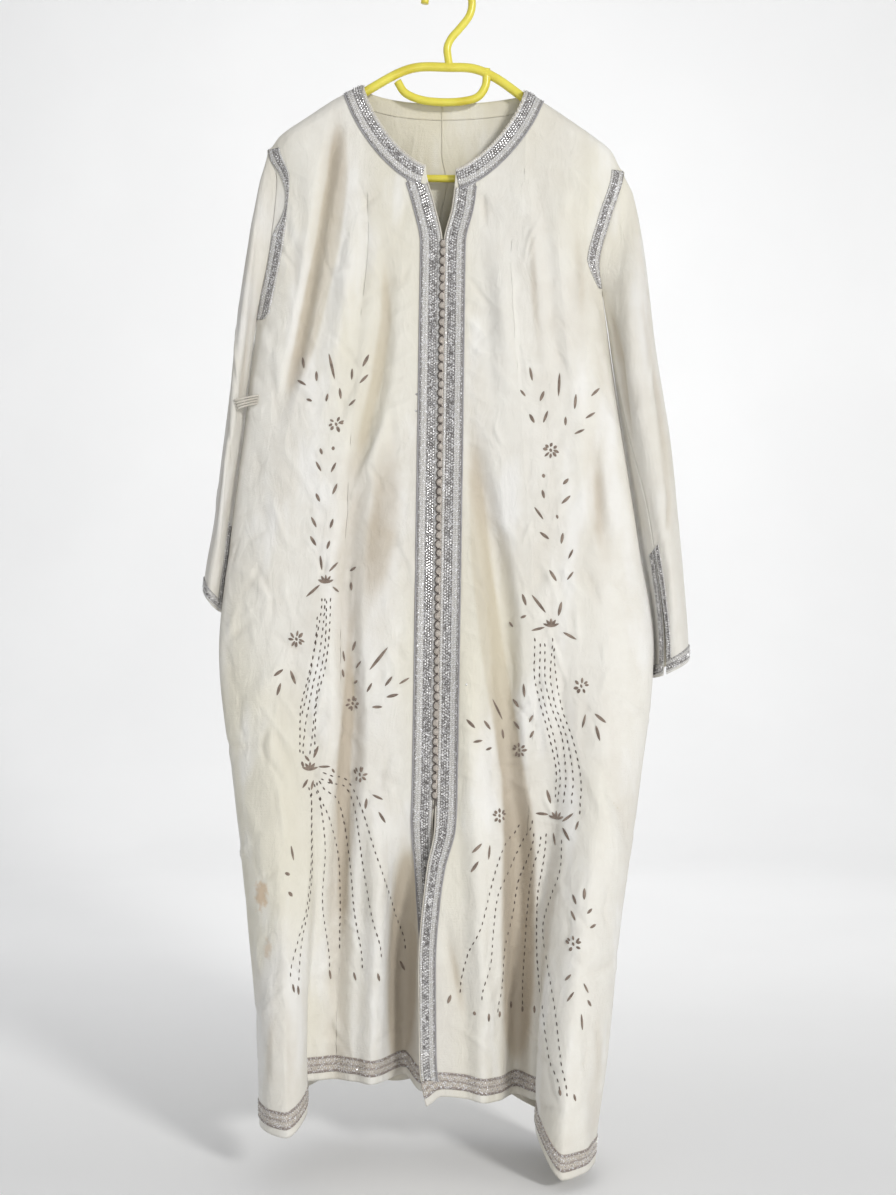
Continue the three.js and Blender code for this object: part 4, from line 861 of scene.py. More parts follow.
def colourMix(tree, factor, a, b):
    # the colour sockets share their names with the number sockets, so they are counted
    return node(tree, "ShaderNodeMix", {0: factor, 6: a, 7: b}, data_type="RGBA").outputs[2]


def noise(tree, vector, **values):
    return node(tree, "ShaderNodeTexNoise", {"Vector": vector, **values}).outputs["Fac"]


def mapped(tree, vector, **values):
    return node(tree, "ShaderNodeMapping", {"Vector": vector, **values}).outputs["Vector"]


def levels(tree, value, **limits):
    # a value read as a soft mask between two limits
    named = {"Value": value, **{key.replace("_", " "): limit for key, limit in limits.items()}}
    return node(tree, "ShaderNodeMapRange", named, interpolation_type="SMOOTHSTEP").outputs["Result"]


def cellValues(tree, vector, scale):
    # three random values for each small cell
    cells = node(tree, "ShaderNodeTexVoronoi", {"Vector": vector, "Scale": scale})
    return node(tree, "ShaderNodeSeparateColor", {0: cells.outputs["Color"]}).outputs


def effect(name, output, **inputs):
    # a node group that reads a vector and the named values, vectors where None, and puts out one value
    tree = bpy.data.node_groups.new(name, "ShaderNodeTree")
    for socket, value in {"Vector": None, **inputs}.items():
        kind = "NodeSocketVector" if value is None else "NodeSocketFloat"
        made = tree.interface.new_socket(socket, in_out="INPUT", socket_type=kind)
        if value is not None:
            made.default_value = value
    tree.interface.new_socket(output, in_out="OUTPUT", socket_type="NodeSocketFloat")
    return tree, tree.nodes.new("NodeGroupInput").outputs, tree.nodes.new("NodeGroupOutput").inputs[output]


def placed(tree, group, **values):
    return node(tree, "ShaderNodeGroup", values, node_tree=group).outputs[0]


# crossing threads: the product of two sines, one along each way of the cloth
weave, given, result = effect("crossingThreads", "Height", Threads=1500.0)
parts = node(weave, "ShaderNodeSeparateXYZ", {0: given["Vector"]})
turns = times(weave, given["Threads"], 2 * math.pi)
sines = [maths(weave, "SINE", times(weave, parts.outputs[k], turns)) for k in (0, 1)]
link(weave, plus(weave, times(weave, times(weave, *sines), 0.5), 0.5), result)

# soft patches: noise read as a mask between two levels
patches, given, result = effect("softPatches", "Mask", Scale=6.0, Detail=3.0, From=0.35, To=0.7)
cloud = noise(patches, given["Vector"], Scale=given["Scale"], Detail=given["Detail"])
link(patches, levels(patches, cloud, From_Min=given["From"], From_Max=given["To"]), result)

# a soft spot round a place, its edge broken by noise
spot, given, result = effect("softSpot", "Mask", Place=None, Radius=0.01)
away = node(spot, "ShaderNodeVectorMath", {0: given["Vector"], 1: given["Place"]}, operation="SUBTRACT")
flatten = node(spot, "ShaderNodeVectorMath", {0: away.outputs[0], 1: (1.35, 0.2, 0.75)}, operation="MULTIPLY")
length = node(spot, "ShaderNodeVectorMath", {0: flatten.outputs[0]}, operation="LENGTH").outputs["Value"]
rough = maths(spot, "SUBTRACT", noise(spot, given["Vector"], Scale=110.0, Detail=3.0), 0.5)
broken = plus(spot, maths(spot, "DIVIDE", length, given["Radius"]), times(spot, rough, 1.6))
link(spot, levels(spot, broken, From_Min=1.15, From_Max=0.5), result)

# twisted strands: a slanting wave over a piece's own coordinates
twist, given, result = effect("twistedStrands", "Height", Pitch=0.003, Slant=1.0)
parts = node(twist, "ShaderNodeSeparateXYZ", {0: given["Vector"]})
along, aslant = maths(twist, "DIVIDE", parts.outputs[0], given["Pitch"]), times(twist, parts.outputs[1], given["Slant"])
wave = maths(twist, "SINE", times(twist, plus(twist, along, aslant), 2 * math.pi))
link(twist, plus(twist, times(twist, wave, 0.5), 0.5), result)


def newMaterial(name, **sockets):
    material = bpy.data.materials.new(name)
    material.use_nodes = True
    tree = material.node_tree
    shader = tree.nodes["Principled BSDF"]
    for key, value in sockets.items():
        shader.inputs[key.replace("_", " ")].default_value = value
    return material, tree, shader, node(tree, "ShaderNodeTexCoord").outputs


def bumped(tree, shader, height, distance, strength=1.0):
    made = node(tree, "ShaderNodeBump", {"Distance": distance, "Strength": strength, "Height": height})
    link(tree, made.outputs["Normal"], shader.inputs["Normal"])


def varied(tree, shader, socket, mask, low, high):
    # a socket of the shader that follows a mask from one value to another
    made = node(tree, "ShaderNodeMapRange", {"Value": mask, "To Min": low, "To Max": high})
    link(tree, made.outputs["Result"], shader.inputs[socket])


def clothMaterial(name, bright, shaded, stained):
    # satin: ivory that turns to a painted beige shade in the hollows and along the folds, slubs and crossing threads,
    # faint broad patches
    material, tree, shader, place = newMaterial(
        name, Sheen_Weight=0.18, Sheen_Roughness=0.4, Specular_IOR_Level=0.42
    )
    paintedShade = node(tree, "ShaderNodeAttribute", attribute_name="paintedShade").outputs["Fac"]
    drawn = mapped(tree, place["Object"], Scale=(1.0, 1.0, 0.36), Rotation=(0.0, 0.35, 0.0))
    broad = placed(tree, patches, Vector=drawn, Scale=15.0, Detail=2.5, From=0.44, To=0.6)
    fine = placed(tree, patches, Vector=place["Object"], Scale=46.0, Detail=5.0, From=0.3, To=0.75)
    slub = noise(tree, mapped(tree, place["UV"], Scale=(26.0, 700.0, 1.0)), Scale=1.0, Detail=4.0)
    # painted shade from the attribute, with random broad and fine patches added
    shade = plus(tree, plus(tree, paintedShade, times(tree, broad, 0.13)), times(tree, fine, 0.1), clamp=True)
    colour = colourMix(tree, shade, paint(*bright), paint(*shaded))
    colour = colourMix(tree, times(tree, slub, 0.1), colour, paint(205, 195, 176))
    yellowed = placed(tree, patches, Vector=drawn, Scale=5.0, Detail=2.0, From=0.42, To=0.66)
    colour = colourMix(tree, times(tree, yellowed, 0.45), colour, paint(221, 215, 190))
    # painted highlight: silvery patches on the cloth that faces out, none in the hollows
    sheenWay = mapped(
        tree, place["Object"], Scale=(1.0, 1.0, 0.3), Rotation=(0.0, -0.5, 0.0), Location=(3.0, 1.0, 2.0)
    )
    paintedHighlight = placed(tree, patches, Vector=sheenWay, Scale=17.0, Detail=3.0, From=0.5, To=0.68)
    lit = times(tree, paintedHighlight, maths(tree, "SUBTRACT", 0.5, times(tree, shade, 0.5)))
    colour = colourMix(tree, lit, colour, paint(243, 243, 243))
    for spotPlace, radius, strength in stained:
        mask = placed(tree, spot, Vector=place["Object"], Place=spotPlace, Radius=radius)
        colour = colourMix(tree, times(tree, mask, strength), colour, paint(198, 158, 104))
    link(tree, colour, shader.inputs["Base Color"])
    varied(tree, shader, "Roughness", fine, 0.44, 0.58)
    threads = placed(tree, weave, Vector=place["UV"], Threads=1150.0)
    crumple = mapped(tree, place["Object"], Scale=(1.6, 1.6, 0.7))
    soft = noise(tree, crumple, Scale=34.0, Detail=6.0, Roughness=0.55, Distortion=0.6)
    height = plus(tree, plus(tree, times(tree, slub, 0.14), times(tree, threads, 0.05)), soft)
    bumped(tree, shader, height, 0.0035, 0.8)
    return material


def braidMaterial(name, silver, dark, stops):
    # woven metal thread: bands across the UV, strands that slant along it, and single threads that glint, partly by
    # real gloss and metal, partly by a painted glint in the base colour
    material, tree, shader, place = newMaterial(name, Specular_IOR_Level=0.6)
    across = node(tree, "ShaderNodeSeparateXYZ", {0: place["UV"]}).outputs[1]
    bands = node(tree, "ShaderNodeValToRGB", {"Fac": across})
    ramp = bands.color_ramp
    while len(ramp.elements) < len(stops):
        ramp.elements.new(0.5)
    for element, (at, value) in zip(ramp.elements, stops):
        element.position = at
        element.color = (value, value, value, 1)
    strands = placed(tree, twist, Vector=place["UV"], Pitch=0.0026, Slant=3.0)
    cross = placed(tree, twist, Vector=place["UV"], Pitch=0.0031, Slant=-5.0)
    # painted glint: these cells turn the base colour near white, and also get lower roughness and more metal
    bright = levels(tree, cellValues(tree, place["Object"], 900.0)[0], From_Min=0.66, From_Max=0.95, To_Max=0.85)
    woven = times(tree, strands, cross)
    shade = times(tree, bands.outputs["Color"], plus(tree, times(tree, woven, 0.55), 0.55), clamp=True)
    colour = colourMix(tree, shade, paint(*dark), paint(*silver))
    link(tree, colourMix(tree, bright, colour, paint(238, 238, 242)), shader.inputs["Base Color"])
    metal = plus(tree, times(tree, shade, 0.12), times(tree, bright, 0.4), clamp=True)
    link(tree, metal, shader.inputs["Metallic"])
    varied(tree, shader, "Roughness", bright, 0.56, 0.24)
    bumped(tree, shader, plus(tree, woven, times(tree, bright, 0.5)), 0.0006, 0.8)
    return material


def threadMaterial(name, light, dark, pitch, roughness, patch=60.0):
    # wound thread: slanting strands, darker between them, with uneven dye
    material, tree, shader, place = newMaterial(name, Roughness=roughness, Sheen_Weight=0.2, Sheen_Roughness=0.5)
    strands = placed(tree, twist, Vector=place["UV"], Pitch=pitch, Slant=2.0)
    uneven = placed(tree, patches, Vector=place["Object"], Scale=patch, From=0.3, To=0.75)
    shade = plus(tree, times(tree, strands, 0.55), times(tree, uneven, 0.45))
    link(tree, colourMix(tree, shade, paint(*dark), paint(*light)), shader.inputs["Base Color"])
    bumped(tree, shader, strands, 0.0005, 0.9)
    return material


def plasticMaterial(name, clean, deep):
    # moulded plastic: deeper colour in patches, fine scuffs in its gloss, a faint orange-peel skin
    material, tree, shader, place = newMaterial(
        name, Coat_Weight=0.25, Coat_Roughness=0.15, Subsurface_Weight=0.25, Subsurface_Scale=0.006,
        Subsurface_Radius=(1.0, 0.8, 0.25),
    )
    worn = placed(tree, patches, Vector=place["Object"], Scale=30.0, Detail=5.0, From=0.3, To=0.8)
    link(tree, colourMix(tree, worn, paint(*clean), paint(*deep)), shader.inputs["Base Color"])
    scuffs = noise(tree, place["Object"], Scale=320.0, Detail=5.0)
    varied(tree, shader, "Roughness", scuffs, 0.24, 0.46)
    bumped(tree, shader, scuffs, 0.0002, 0.5)
    return material


def stoneMaterial(name, clear, grey):
    # small clear stones over dark foil: bright facets, each a little different
    material, tree, shader, place = newMaterial(
        name, Specular_IOR_Level=0.9, Coat_Weight=0.6, Coat_Roughness=0.05
    )
    tint, gloss, foil = cellValues(tree, place["Object"], 260.0)[:3]
    link(tree, colourMix(tree, tint, paint(*grey), paint(*clear)), shader.inputs["Base Color"])
    varied(tree, shader, "Roughness", gloss, 0.08, 0.3)
    varied(tree, shader, "Metallic", foil, 0.1, 0.55)
    return material


def studioMaterial(name, grey):
    material, tree, shader, place = newMaterial(name, Roughness=0.9, Specular_IOR_Level=0.1)
    faint = placed(tree, patches, Vector=place["Object"], Scale=1.2)
    paler = paint(*(min(255, v + 3) for v in grey))
    link(tree, colourMix(tree, faint, paint(*grey), paler), shader.inputs["Base Color"])
    return material


# faint stains: a place, a radius and a strength
stains = [
    ((-0.239, -0.05, -1.198), 0.015, 0.55), ((-0.229, -0.06, -1.266), 0.011, 0.35),
    ((-0.244, -0.04, -1.215), 0.008, 0.3),
]
ivory = clothMaterial("ivorySatin", (233, 231, 224), (192, 181, 164), stains)
lining = clothMaterial("satinInside", (222, 218, 206), (190, 178, 156), [])
frontBands = [
    (0.0, 0.6), (0.05, 0.3), (0.1, 0.3), (0.14, 0.8), (0.2, 1.0), (0.26, 0.7), (0.3, 1.0), (0.38, 0.9), (0.41, 0.05),
    (0.5, 0.25), (0.56, 0.0), (0.62, 0.25), (0.68, 0.0), (0.74, 0.25), (0.8, 0.05), (0.86, 1.0), (0.94, 1.0),
    (1.0, 0.8),
]
hemBands = [
    (0.0, 0.5), (0.06, 0.1), (0.14, 0.1), (0.2, 0.75), (0.34, 0.95), (0.42, 0.8), (0.46, 0.35), (0.54, 0.3), (0.6, 0.8),
    (0.76, 0.9), (0.84, 0.65), (0.88, 0.1), (0.95, 0.1), (1.0, 0.6),
]
silver = braidMaterial("silverBraid", (228, 226, 221), (98, 94, 92), frontBands)
hemSilver = braidMaterial("hemBraid", (220, 212, 199), (128, 116, 110), hemBands)
stones = stoneMaterial("clearStones", (252, 251, 250), (122, 119, 118))
knotThread = threadMaterial("knotThread", (244, 237, 228), (216, 202, 188), 0.0016, 0.62)
darkCord = threadMaterial("darkCord", (120, 108, 102), (62, 54, 52), 0.0018, 0.7)
greyCord = threadMaterial("greyCord", (190, 188, 190), (140, 137, 140), 0.0022, 0.5)
paleCord = threadMaterial("paleCord", (232, 228, 218), (186, 178, 164), 0.0022, 0.55)
leafThread = threadMaterial("leafThread", (182, 164, 148), (88, 70, 60), 0.0012, 0.6, 130.0)
stitchThread = threadMaterial("stitchThread", (120, 102, 90), (72, 58, 50), 0.0012, 0.65, 130.0)
yellow = plasticMaterial("yellowPlastic", (229, 219, 88), (212, 196, 62))
backdropPaint = studioMaterial("backdrop", studio["grey"])


def studioRoom():
    # a profile of floor, bend and wall carried sideways
    s = studio
    turn = np.linspace(0, math.pi / 2, 24)
    profile = [(s["front"], s["floorZ"])]
    startY = s["wallY"] - s["bend"]
    profile += [(startY + s["bend"] * math.sin(a), s["floorZ"] + s["bend"] * (1 - math.cos(a))) for a in turn]
    profile += [(s["wallY"], s["top"])]
    profile = np.array(profile)
    across = np.linspace(-s["half"], s["half"], 8)
    y, x = np.meshgrid(profile[:, 0], across, indexing="ij")
    z = np.repeat(profile[:, 1][:, None], len(across), 1)
    points = np.stack([x, y, z], -1).reshape(-1, 3) / mm
    room = meshPiece("backdrop", points, [gridFaces(len(profile), len(across))], [backdropPaint])


studioRoom()
for name, lamp in lamps.items():
    light = bpy.data.lights.new(name, "AREA")
    light.shape, light.size, light.energy, light.color = "DISK", lamp["size"], lamp["watts"], lamp["tint"]
    holder = bpy.data.objects.new(name, light)
    scene.collection.objects.link(holder)
    holder.location = lamp["place"]
    way = np.array(lamp["aim"]) - np.array(lamp["place"])
    holder.rotation_euler = (math.acos(-way[2] / np.linalg.norm(way)), 0, math.atan2(way[1], way[0]) - math.pi / 2)
world = bpy.data.worlds.new("studio")
world.use_nodes = True
world.node_tree.nodes["Background"].inputs["Color"].default_value = (*skyLight["tint"], 1)
world.node_tree.nodes["Background"].inputs["Strength"].default_value = skyLight["strength"]
scene.world = world

print("cloth")
clothWall = 1.2
areas = {}


def areaOf(points):
    one, two = points[1:, 1:] - points[:-1, :-1], points[1:, :-1] - points[:-1, 1:]
    return float(np.linalg.norm(np.cross(one, two), axis=-1).sum() / 2) * mm * mm


def hollowShadeOf(depth, relief, low, high):
    # painted shade: the hollows turn beige, by the folds' depth less the creases that stand out
    return ease((depth - relief - low) / (high - low))


panelPieces = {}
for name, panel in panels.items():
    points, normals = panel["points"], panel["normals"]
    # painted shade on the satin: beige in the fold hollows, less where creases stand out, plus the painted shade and
    # painted highlight runs along the folds
    depth = foldDepth(name, points[..., 0], points[..., 2])
    drawn = creaseRelief(paintedFoldShades[name], points[..., 0], points[..., 2])
    # the painted shade and highlight runs, given crisp edges as satin's fold shadows have
    crispShade = 0.26 * drawn + 0.5 * ease((drawn - 0.22) / 0.26)
    paintedShade = np.clip(0.34 * hollowShadeOf(depth, 1.6 * panel["relief"], -3.0, 13.0) + crispShade, 0, 1)
    facing = 1.0 if name == "back" else -signOf[name]
    title = "back_cloth" if name == "back" else f"front_{name}_cloth"
    inside = points - normals * clothWall
    piece = shellPiece(title, points, inside, [ivory, lining], -facing, flatCoordinates(points), paintedShade)
    panelPieces[name] = piece
    areas[name] = areaOf(points)
    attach(piece, "root")
    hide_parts("back" if name == "back" else f"front_{name}")
sleeveCreases = {
    "right": [
        ([(0.2, 0.08), (0.24, 0.3), (0.2, 0.52)], 0.05, 0.05, 4.0),
        ([(0.33, 0.05), (0.36, 0.25), (0.3, 0.44)], 0.045, 0.045, -2.4),
        ([(0.3, 0.42), (0.24, 0.62), (0.28, 0.86)], 0.04, 0.03, 3.5),
        ([(0.16, 0.5), (0.2, 0.68), (0.14, 0.9)], 0.03, 0.03, -3.0),
        ([(0.1, 0.28), (0.19, 0.36), (0.34, 0.38)], 0.02, 0.02, 2.2),
        ([(0.08, 0.5), (0.2, 0.56), (0.34, 0.55)], 0.018, 0.018, -2.0),
        ([(0.7, 0.06), (0.74, 0.34), (0.68, 0.66)], 0.05, 0.04, 4.0),
        ([(0.86, 0.1), (0.82, 0.5), (0.86, 0.9)], 0.04, 0.04, -3.5),
    ],
    "left": [
        ([(0.26, 0.06), (0.3, 0.28), (0.28, 0.56)], 0.05, 0.05, 4.0),
        ([(0.42, 0.05), (0.38, 0.22), (0.4, 0.44)], 0.03, 0.03, -4.5),
        ([(0.16, 0.2), (0.14, 0.44), (0.2, 0.74)], 0.04, 0.04, -3.0),
        ([(0.3, 0.6), (0.24, 0.76), (0.28, 0.94)], 0.04, 0.03, 3.5),
        ([(0.1, 0.34), (0.22, 0.4), (0.36, 0.38)], 0.02, 0.02, 2.0),
        ([(0.14, 0.64), (0.24, 0.69), (0.36, 0.66)], 0.018, 0.018, -2.0),
        ([(0.68, 0.08), (0.72, 0.36), (0.7, 0.7)], 0.05, 0.04, 4.0),
        ([(0.88, 0.1), (0.84, 0.46), (0.87, 0.9)], 0.04, 0.04, -3.5),
    ],
}


def slitOf(side):
    # the sleeve's length down its outer line, and how far along it the slit begins
    length = shoulder[side][-1, 1] - sleeveLine[side]["outer"][-1][0]
    return length, 1 - sleeveLine[side]["slitLength"] / length


def sleeveTurn(side, way, share):
    # the turn of a share of the cloth's width, counted from one edge of the slit round to the other
    s, slitFrom = sleeveLine[side], slitOf(side)[1]
    seam = mix(0.5, s["slitTurn"], ease(way / slitFrom))
    half = (cut["gap"] + s["gape"] * np.clip((way - slitFrom) / (1 - slitFrom), 0, 1)) / 2 / s["girth"]
    return 2 * math.pi * (seam + half + share * (1 - 2 * half))


sleeves = {}
for side in signOf:
    way, share = np.meshgrid(np.linspace(0, 1, 181) ** 1.05, np.linspace(0, 1, 117), indexing="ij")
    turn = sleeveTurn(side, way, share)
    base = sleevePoint(side, way, turn)
    facing = signOf[side]
    normals = gridNormals(base, facing)
    # creases are measured in thousandths round the sleeve and down it
    around, down = (turn / (2 * math.pi)) % 1 * 1000, way * 1000
    large = [(np.array(line) * 1000, w1 * 1000, w2 * 1000, h) for line, w1, w2, h in sleeveCreases[side]]
    small = []
    scatterCreases(small, (0, 1000), (0, 1000), 46, 0.9, 1.3)
    relief = creaseRelief(large, around, down)
    relief += creaseRelief([(line, 3 * w1, 3 * w2, h) for line, w1, w2, h in small], around, down)
    relief *= ease((way - 0.01) / 0.1) * ease((1 - way) / 0.04) * ease(np.minimum(share, 1 - share) / 0.04)
    points = base + normals * relief[..., None]
    sleeves[side] = {"points": points, "normals": gridNormals(points, facing), "ways": way[:, 0]}
    # painted shade on the sleeve: a little all over, more in its creased hollows
    paintedShade = 0.1 + 0.5 * ease((-relief + 0.5) / 4)
    inside = points - sleeves[side]["normals"] * clothWall
    piece = shellPiece(
        f"sleeve_{side}_cloth", points, inside, [ivory, lining], -facing, flatCoordinates(points), paintedShade
    )
    panelPieces["sleeve_" + side] = piece
    areas["sleeve_" + side] = areaOf(points)
    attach(piece, "root")
    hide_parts(f"sleeve_{side}")
print("areas", {k: round(v, 4) for k, v in areas.items()})


def onSleeve(side, share, way):
    s = sleeves[side]
    row = np.interp(way, s["ways"], np.arange(len(s["ways"])))
    return placeAndNormal(s, row, share * (s["points"].shape[1] - 1))


print("braid")
# height of the braid across its width: cords at both edges, a flat woven band and a bed for the stones
profiles = {
    "full": [
        (0, 0.2), (0.03, 1.3), (0.07, 1.8), (0.11, 1.3), (0.15, 0.7), (0.2, 1.1), (0.3, 1.15), (0.34, 0.7), (0.38, 1.0),
        (0.43, 0.95), (0.47, 0.6), (0.6, 0.7), (0.75, 0.7), (0.84, 0.6), (0.88, 1.3), (0.92, 1.6), (0.96, 1.3),
        (1, 0.2),
    ],
    "hem": [
        (0, 0.2), (0.05, 0.9), (0.1, 1.3), (0.15, 0.9), (0.2, 0.5), (0.3, 0.75), (0.44, 0.7), (0.5, 1.1), (0.56, 0.7),
        (0.7, 0.75), (0.85, 0.5), (0.9, 1.1), (0.95, 0.8), (1, 0.2),
    ],
}


def braidPiece(sewn, points, normals, stoneRows, pitch=3.3, stoneSize=1.35, profile="full", material=silver):
    # one braid with its stones: points and normals are a grid on the cloth, along the braid by across it; the
    # profile lifts the upper face
    rows, columns = points.shape[:2]
    across = np.linspace(0, 1, columns)
    table = np.array(profiles[profile])
    height = 0.3 + np.interp(across, table[:, 0], table[:, 1])
    outer = points + normals * height[None, :, None]
    inner = points + normals * 0.12
    line = np.concatenate([[0], np.cumsum(np.linalg.norm(np.diff(points[:, columns // 2], axis=0), axis=-1))])
    uv = np.stack(np.meshgrid(line * mm, across, indexing="ij"), -1)
    turned = np.cross(points[0, -1] - points[0, 0], points[1, 0] - points[0, 0]) @ normals[0, 0] > 0
    piece = shellPiece(sewn + "_band", outer, inner, [material], -1 if turned else 1, uv, skip=4)
    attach(piece, "root")
    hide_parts(sewn)
    rowsOfStones = []
    for k, w in enumerate(stoneRows):
        at = np.arange(pitch * (0.5 + 0.33 * k), line[-1] - pitch * 0.4, pitch)
        row, column = np.interp(at, line, np.arange(rows)), np.full(len(at), w * (columns - 1))
        before, after = np.maximum(row - 0.3, 0), np.minimum(row + 0.3, rows - 1)
        ahead = unitRows(sampled(outer, after, column) - sampled(outer, before, column))
        n = unitRows(sampled(normals, row, column))
        rowsOfStones.append((sampled(outer, row, column), ahead, unitRows(np.cross(n, ahead)), n))
    places, alongs, acrosses, offs = (np.concatenate(v) for v in zip(*rowsOfStones))
    # each stone is tipped a little, as sewn ones are
    offs = unitRows(offs + rng.normal(0, 0.16, offs.shape))
    sizes = stoneSize * rng.uniform(0.82, 1.1, len(places))
    cutStones = scattered(*facetedStone(), places, acrosses, alongs, offs, sizes)
    studs = joinedPiece(sewn + "_band_stones", [cutStones], [stones], smooth=False)
    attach(studs, "root")
    return [piece, studs]


def resampled(line, count):
    # points at even spacing along a line of points
    far = np.concatenate([[0], np.cumsum(np.linalg.norm(np.diff(line, axis=0), axis=-1))])
    at = np.linspace(0, far[-1], count)
    return np.stack([np.interp(at, far, line[:, k]) for k in range(line.shape[1])], -1)


onCloth = {name: [] for name in panelPieces}
bandWide = {"edge": 2.2, "front": 26.0, "collar": 26.0, "hem": 22.0, "hemAbove": 10.0, "armhole": 17.0}


def shareAtDistance(side, z, distance):
    # the share of a front's width that lies this far from its edge
    probe = frontPoint(side, np.full_like(z, 0.14), z)[..., 0]
    start = frontPoint(side, np.zeros_like(z), z)[..., 0]
    return distance / np.abs(probe - start) * 0.14


def necklineAt(side, t):
    n = neck[side]
    return np.stack([mix(n["edgeX"], n["shoulderX"], t), mix(n["frontZ"], n["shoulderZ"], neckRise(t))], -1)


def necklineMoved(side, t, distance):
    # the neckline moved square to itself, down and away from the neck
    a, b = necklineAt(side, np.maximum(0, t - 0.03)), necklineAt(side, np.minimum(1, t + 0.03))
    step = b - a
    length = np.hypot(step[..., 0], step[..., 1])
    x, z = np.moveaxis(necklineAt(side, t), -1, 0)
    return x + signOf[side] * step[..., 1] * distance / length, z - np.abs(step[..., 0]) * distance / length


def collarEnd(side, x):
    # the height where the collar meets the shoulder seam at an x
    n = neck[side]
    return np.where(np.abs(x) < np.abs(n["shoulderX"]), n["shoulderZ"], shoulderHeight(side, x))


def backShareAt(x):
    first, last = shoulder["right"][-1, 0], shoulder["left"][-1, 0]
    return (x - first) / (last - first)


def centreBottom(side):
    # the height where the centre braid meets the hem braid
    return hem[side][0, 1] + bandWide["hem"] + bandWide["hemAbove"]


def collarLow(side, x):
    # the height of the collar's lower edge at an x
    moved = necklineMoved(side, np.linspace(0, 0.8, 300), bandWide["collar"])
    order = np.argsort(moved[0])
    return np.interp(x, moved[0][order], moved[1][order])


stoneLines = (0.5, 0.62, 0.74)
narrowing = {"share": 0.22, "from": -1085, "over": 120}


def braidShare(z):
    # the centre braids are drawn narrower below the last knot
    return 1 - narrowing["share"] * ease((narrowing["from"] - z) / narrowing["over"])


for side in signOf:
    # the centre braid runs beside the closure, from the collar down to the hem braid
    bottom = centreBottom(side)
    w = np.linspace(1, 0, 25)
    far = bandWide["edge"] + bandWide["front"] * w
    columnX = neck[side]["edgeX"] + signOf[side] * far
    top = collarLow(side, columnX) - 0.8
    zz = top[None] + (bottom + 1 - top)[None] * np.linspace(0, 1, 421)[:, None]
    share = shareAtDistance(side, zz, far[None] * braidShare(zz))
    p, n = onPanel(side, share, zz)
    onCloth[side] += braidPiece(f"centre_braid_{side}", p, n, stoneLines, 3.9, 1.65)


for side in signOf:
    # the collar follows the neckline; each of its lines ends where it meets the shoulder seam
    distance = np.linspace(bandWide["collar"], 0.4, 25)
    low, high = np.full(25, 0.5), np.ones(25)
    for _ in range(30):
        middle = (low + high) / 2
        x, z = necklineMoved(side, middle, distance)
        short = z < collarEnd(side, x) - 0.6
        low, high = np.where(short, middle, low), np.where(short, high, middle)
    ends = (low + high) / 2
    t = np.linspace(0, 1, 400)[:, None] * ends[None]
    x, z = necklineMoved(side, t, np.broadcast_to(distance, t.shape))
    # even steps along the middle line
    run = np.concatenate([[0], np.cumsum(np.hypot(np.diff(x[:, 12]), np.diff(z[:, 12])))])
    pick = np.interp(np.linspace(0, run[-1], 129), run, np.arange(400))
    x = np.stack([np.interp(pick, np.arange(400), x[:, k]) for k in range(25)], -1)
    z = np.stack([np.interp(pick, np.arange(400), z[:, k]) for k in range(25)], -1)
    p, n = atPlace(side, x, z)
    onCloth[side] += braidPiece(f"collar_{side}", p, n, stoneLines, 3.9, 1.6)

# the back collar lies along the back neck edge and over the shoulder seams' first stretch
x = np.linspace(neck["right"]["shoulderX"] - 24, neck["left"]["shoulderX"] + 24, 121)
t = np.linspace(0, 1, 121)
w = np.linspace(1, 0, 21)
zz = backTop(x)[:, None] - 0.8 - (bandWide["collar"] - 1) * w[None] * ease(np.minimum(t, 1 - t) / 0.14)[:, None]
share = backShareAt(x)
p, n = onPanel("back", np.repeat(share[:, None], 21, 1), zz)
onCloth["back"] += braidPiece("collar_back", p, n, stoneLines)

for name in panels:
    # hem braid, a little above the hem
    panel = panels[name]
    shares = resampled(np.stack([panel["points"][-1, :, 0], panel["points"][-1, :, 1], panel["share"]], -1), 261)[:, 2]
    low = np.interp(shares, panel["share"], panel["bottom"])
    w = np.linspace(0, 1, 25)
    zz = low[:, None] + bandWide["hemAbove"] + bandWide["hem"] * w[None]
    p, n = onPanel(name, np.repeat(shares[:, None], 25, 1), zz)
    onCloth[name] += braidPiece(f"hem_braid_{name}", p, n, (0.3, 0.68), 9.5, 0.95, "hem", hemSilver)

for side in signOf:
    # armhole braid, narrowing towards the underarm, the right one only at its very end
    tip, low = shoulder[side][-1, 1], underarm[side]
    t = np.linspace(0.0, 0.97, 109)
    z = mix(tip, low, t)
    width = np.maximum(1.2, bandWide["armhole"] * np.minimum(1, (1 - t) / {"right": 0.06, "left": 0.25}[side]) ** 0.7)
    inset = np.full(len(t), 0.9)
    if side == "right":  # here the cloth rolls over the braid's outer edge for a while
        hidden = width * 0.78 * ease((-238 - z) / 52) * ease((z + 345) / 46)
        inset, width = inset + hidden, width - hidden
    seam = through(plan[side][:, 0], plan[side][:, 11], z)
    w = np.linspace(0, 1, 21)
    x = seam[:, None] - signOf[side] * (inset[:, None] + width[:, None] * w[None])
    p, n = atPlace(side, x, np.repeat(z[:, None], 21, 1))
    onCloth[side] += braidPiece(f"armhole_braid_{side}", p, n, (0.56, 0.72), 3.6, 1.05)

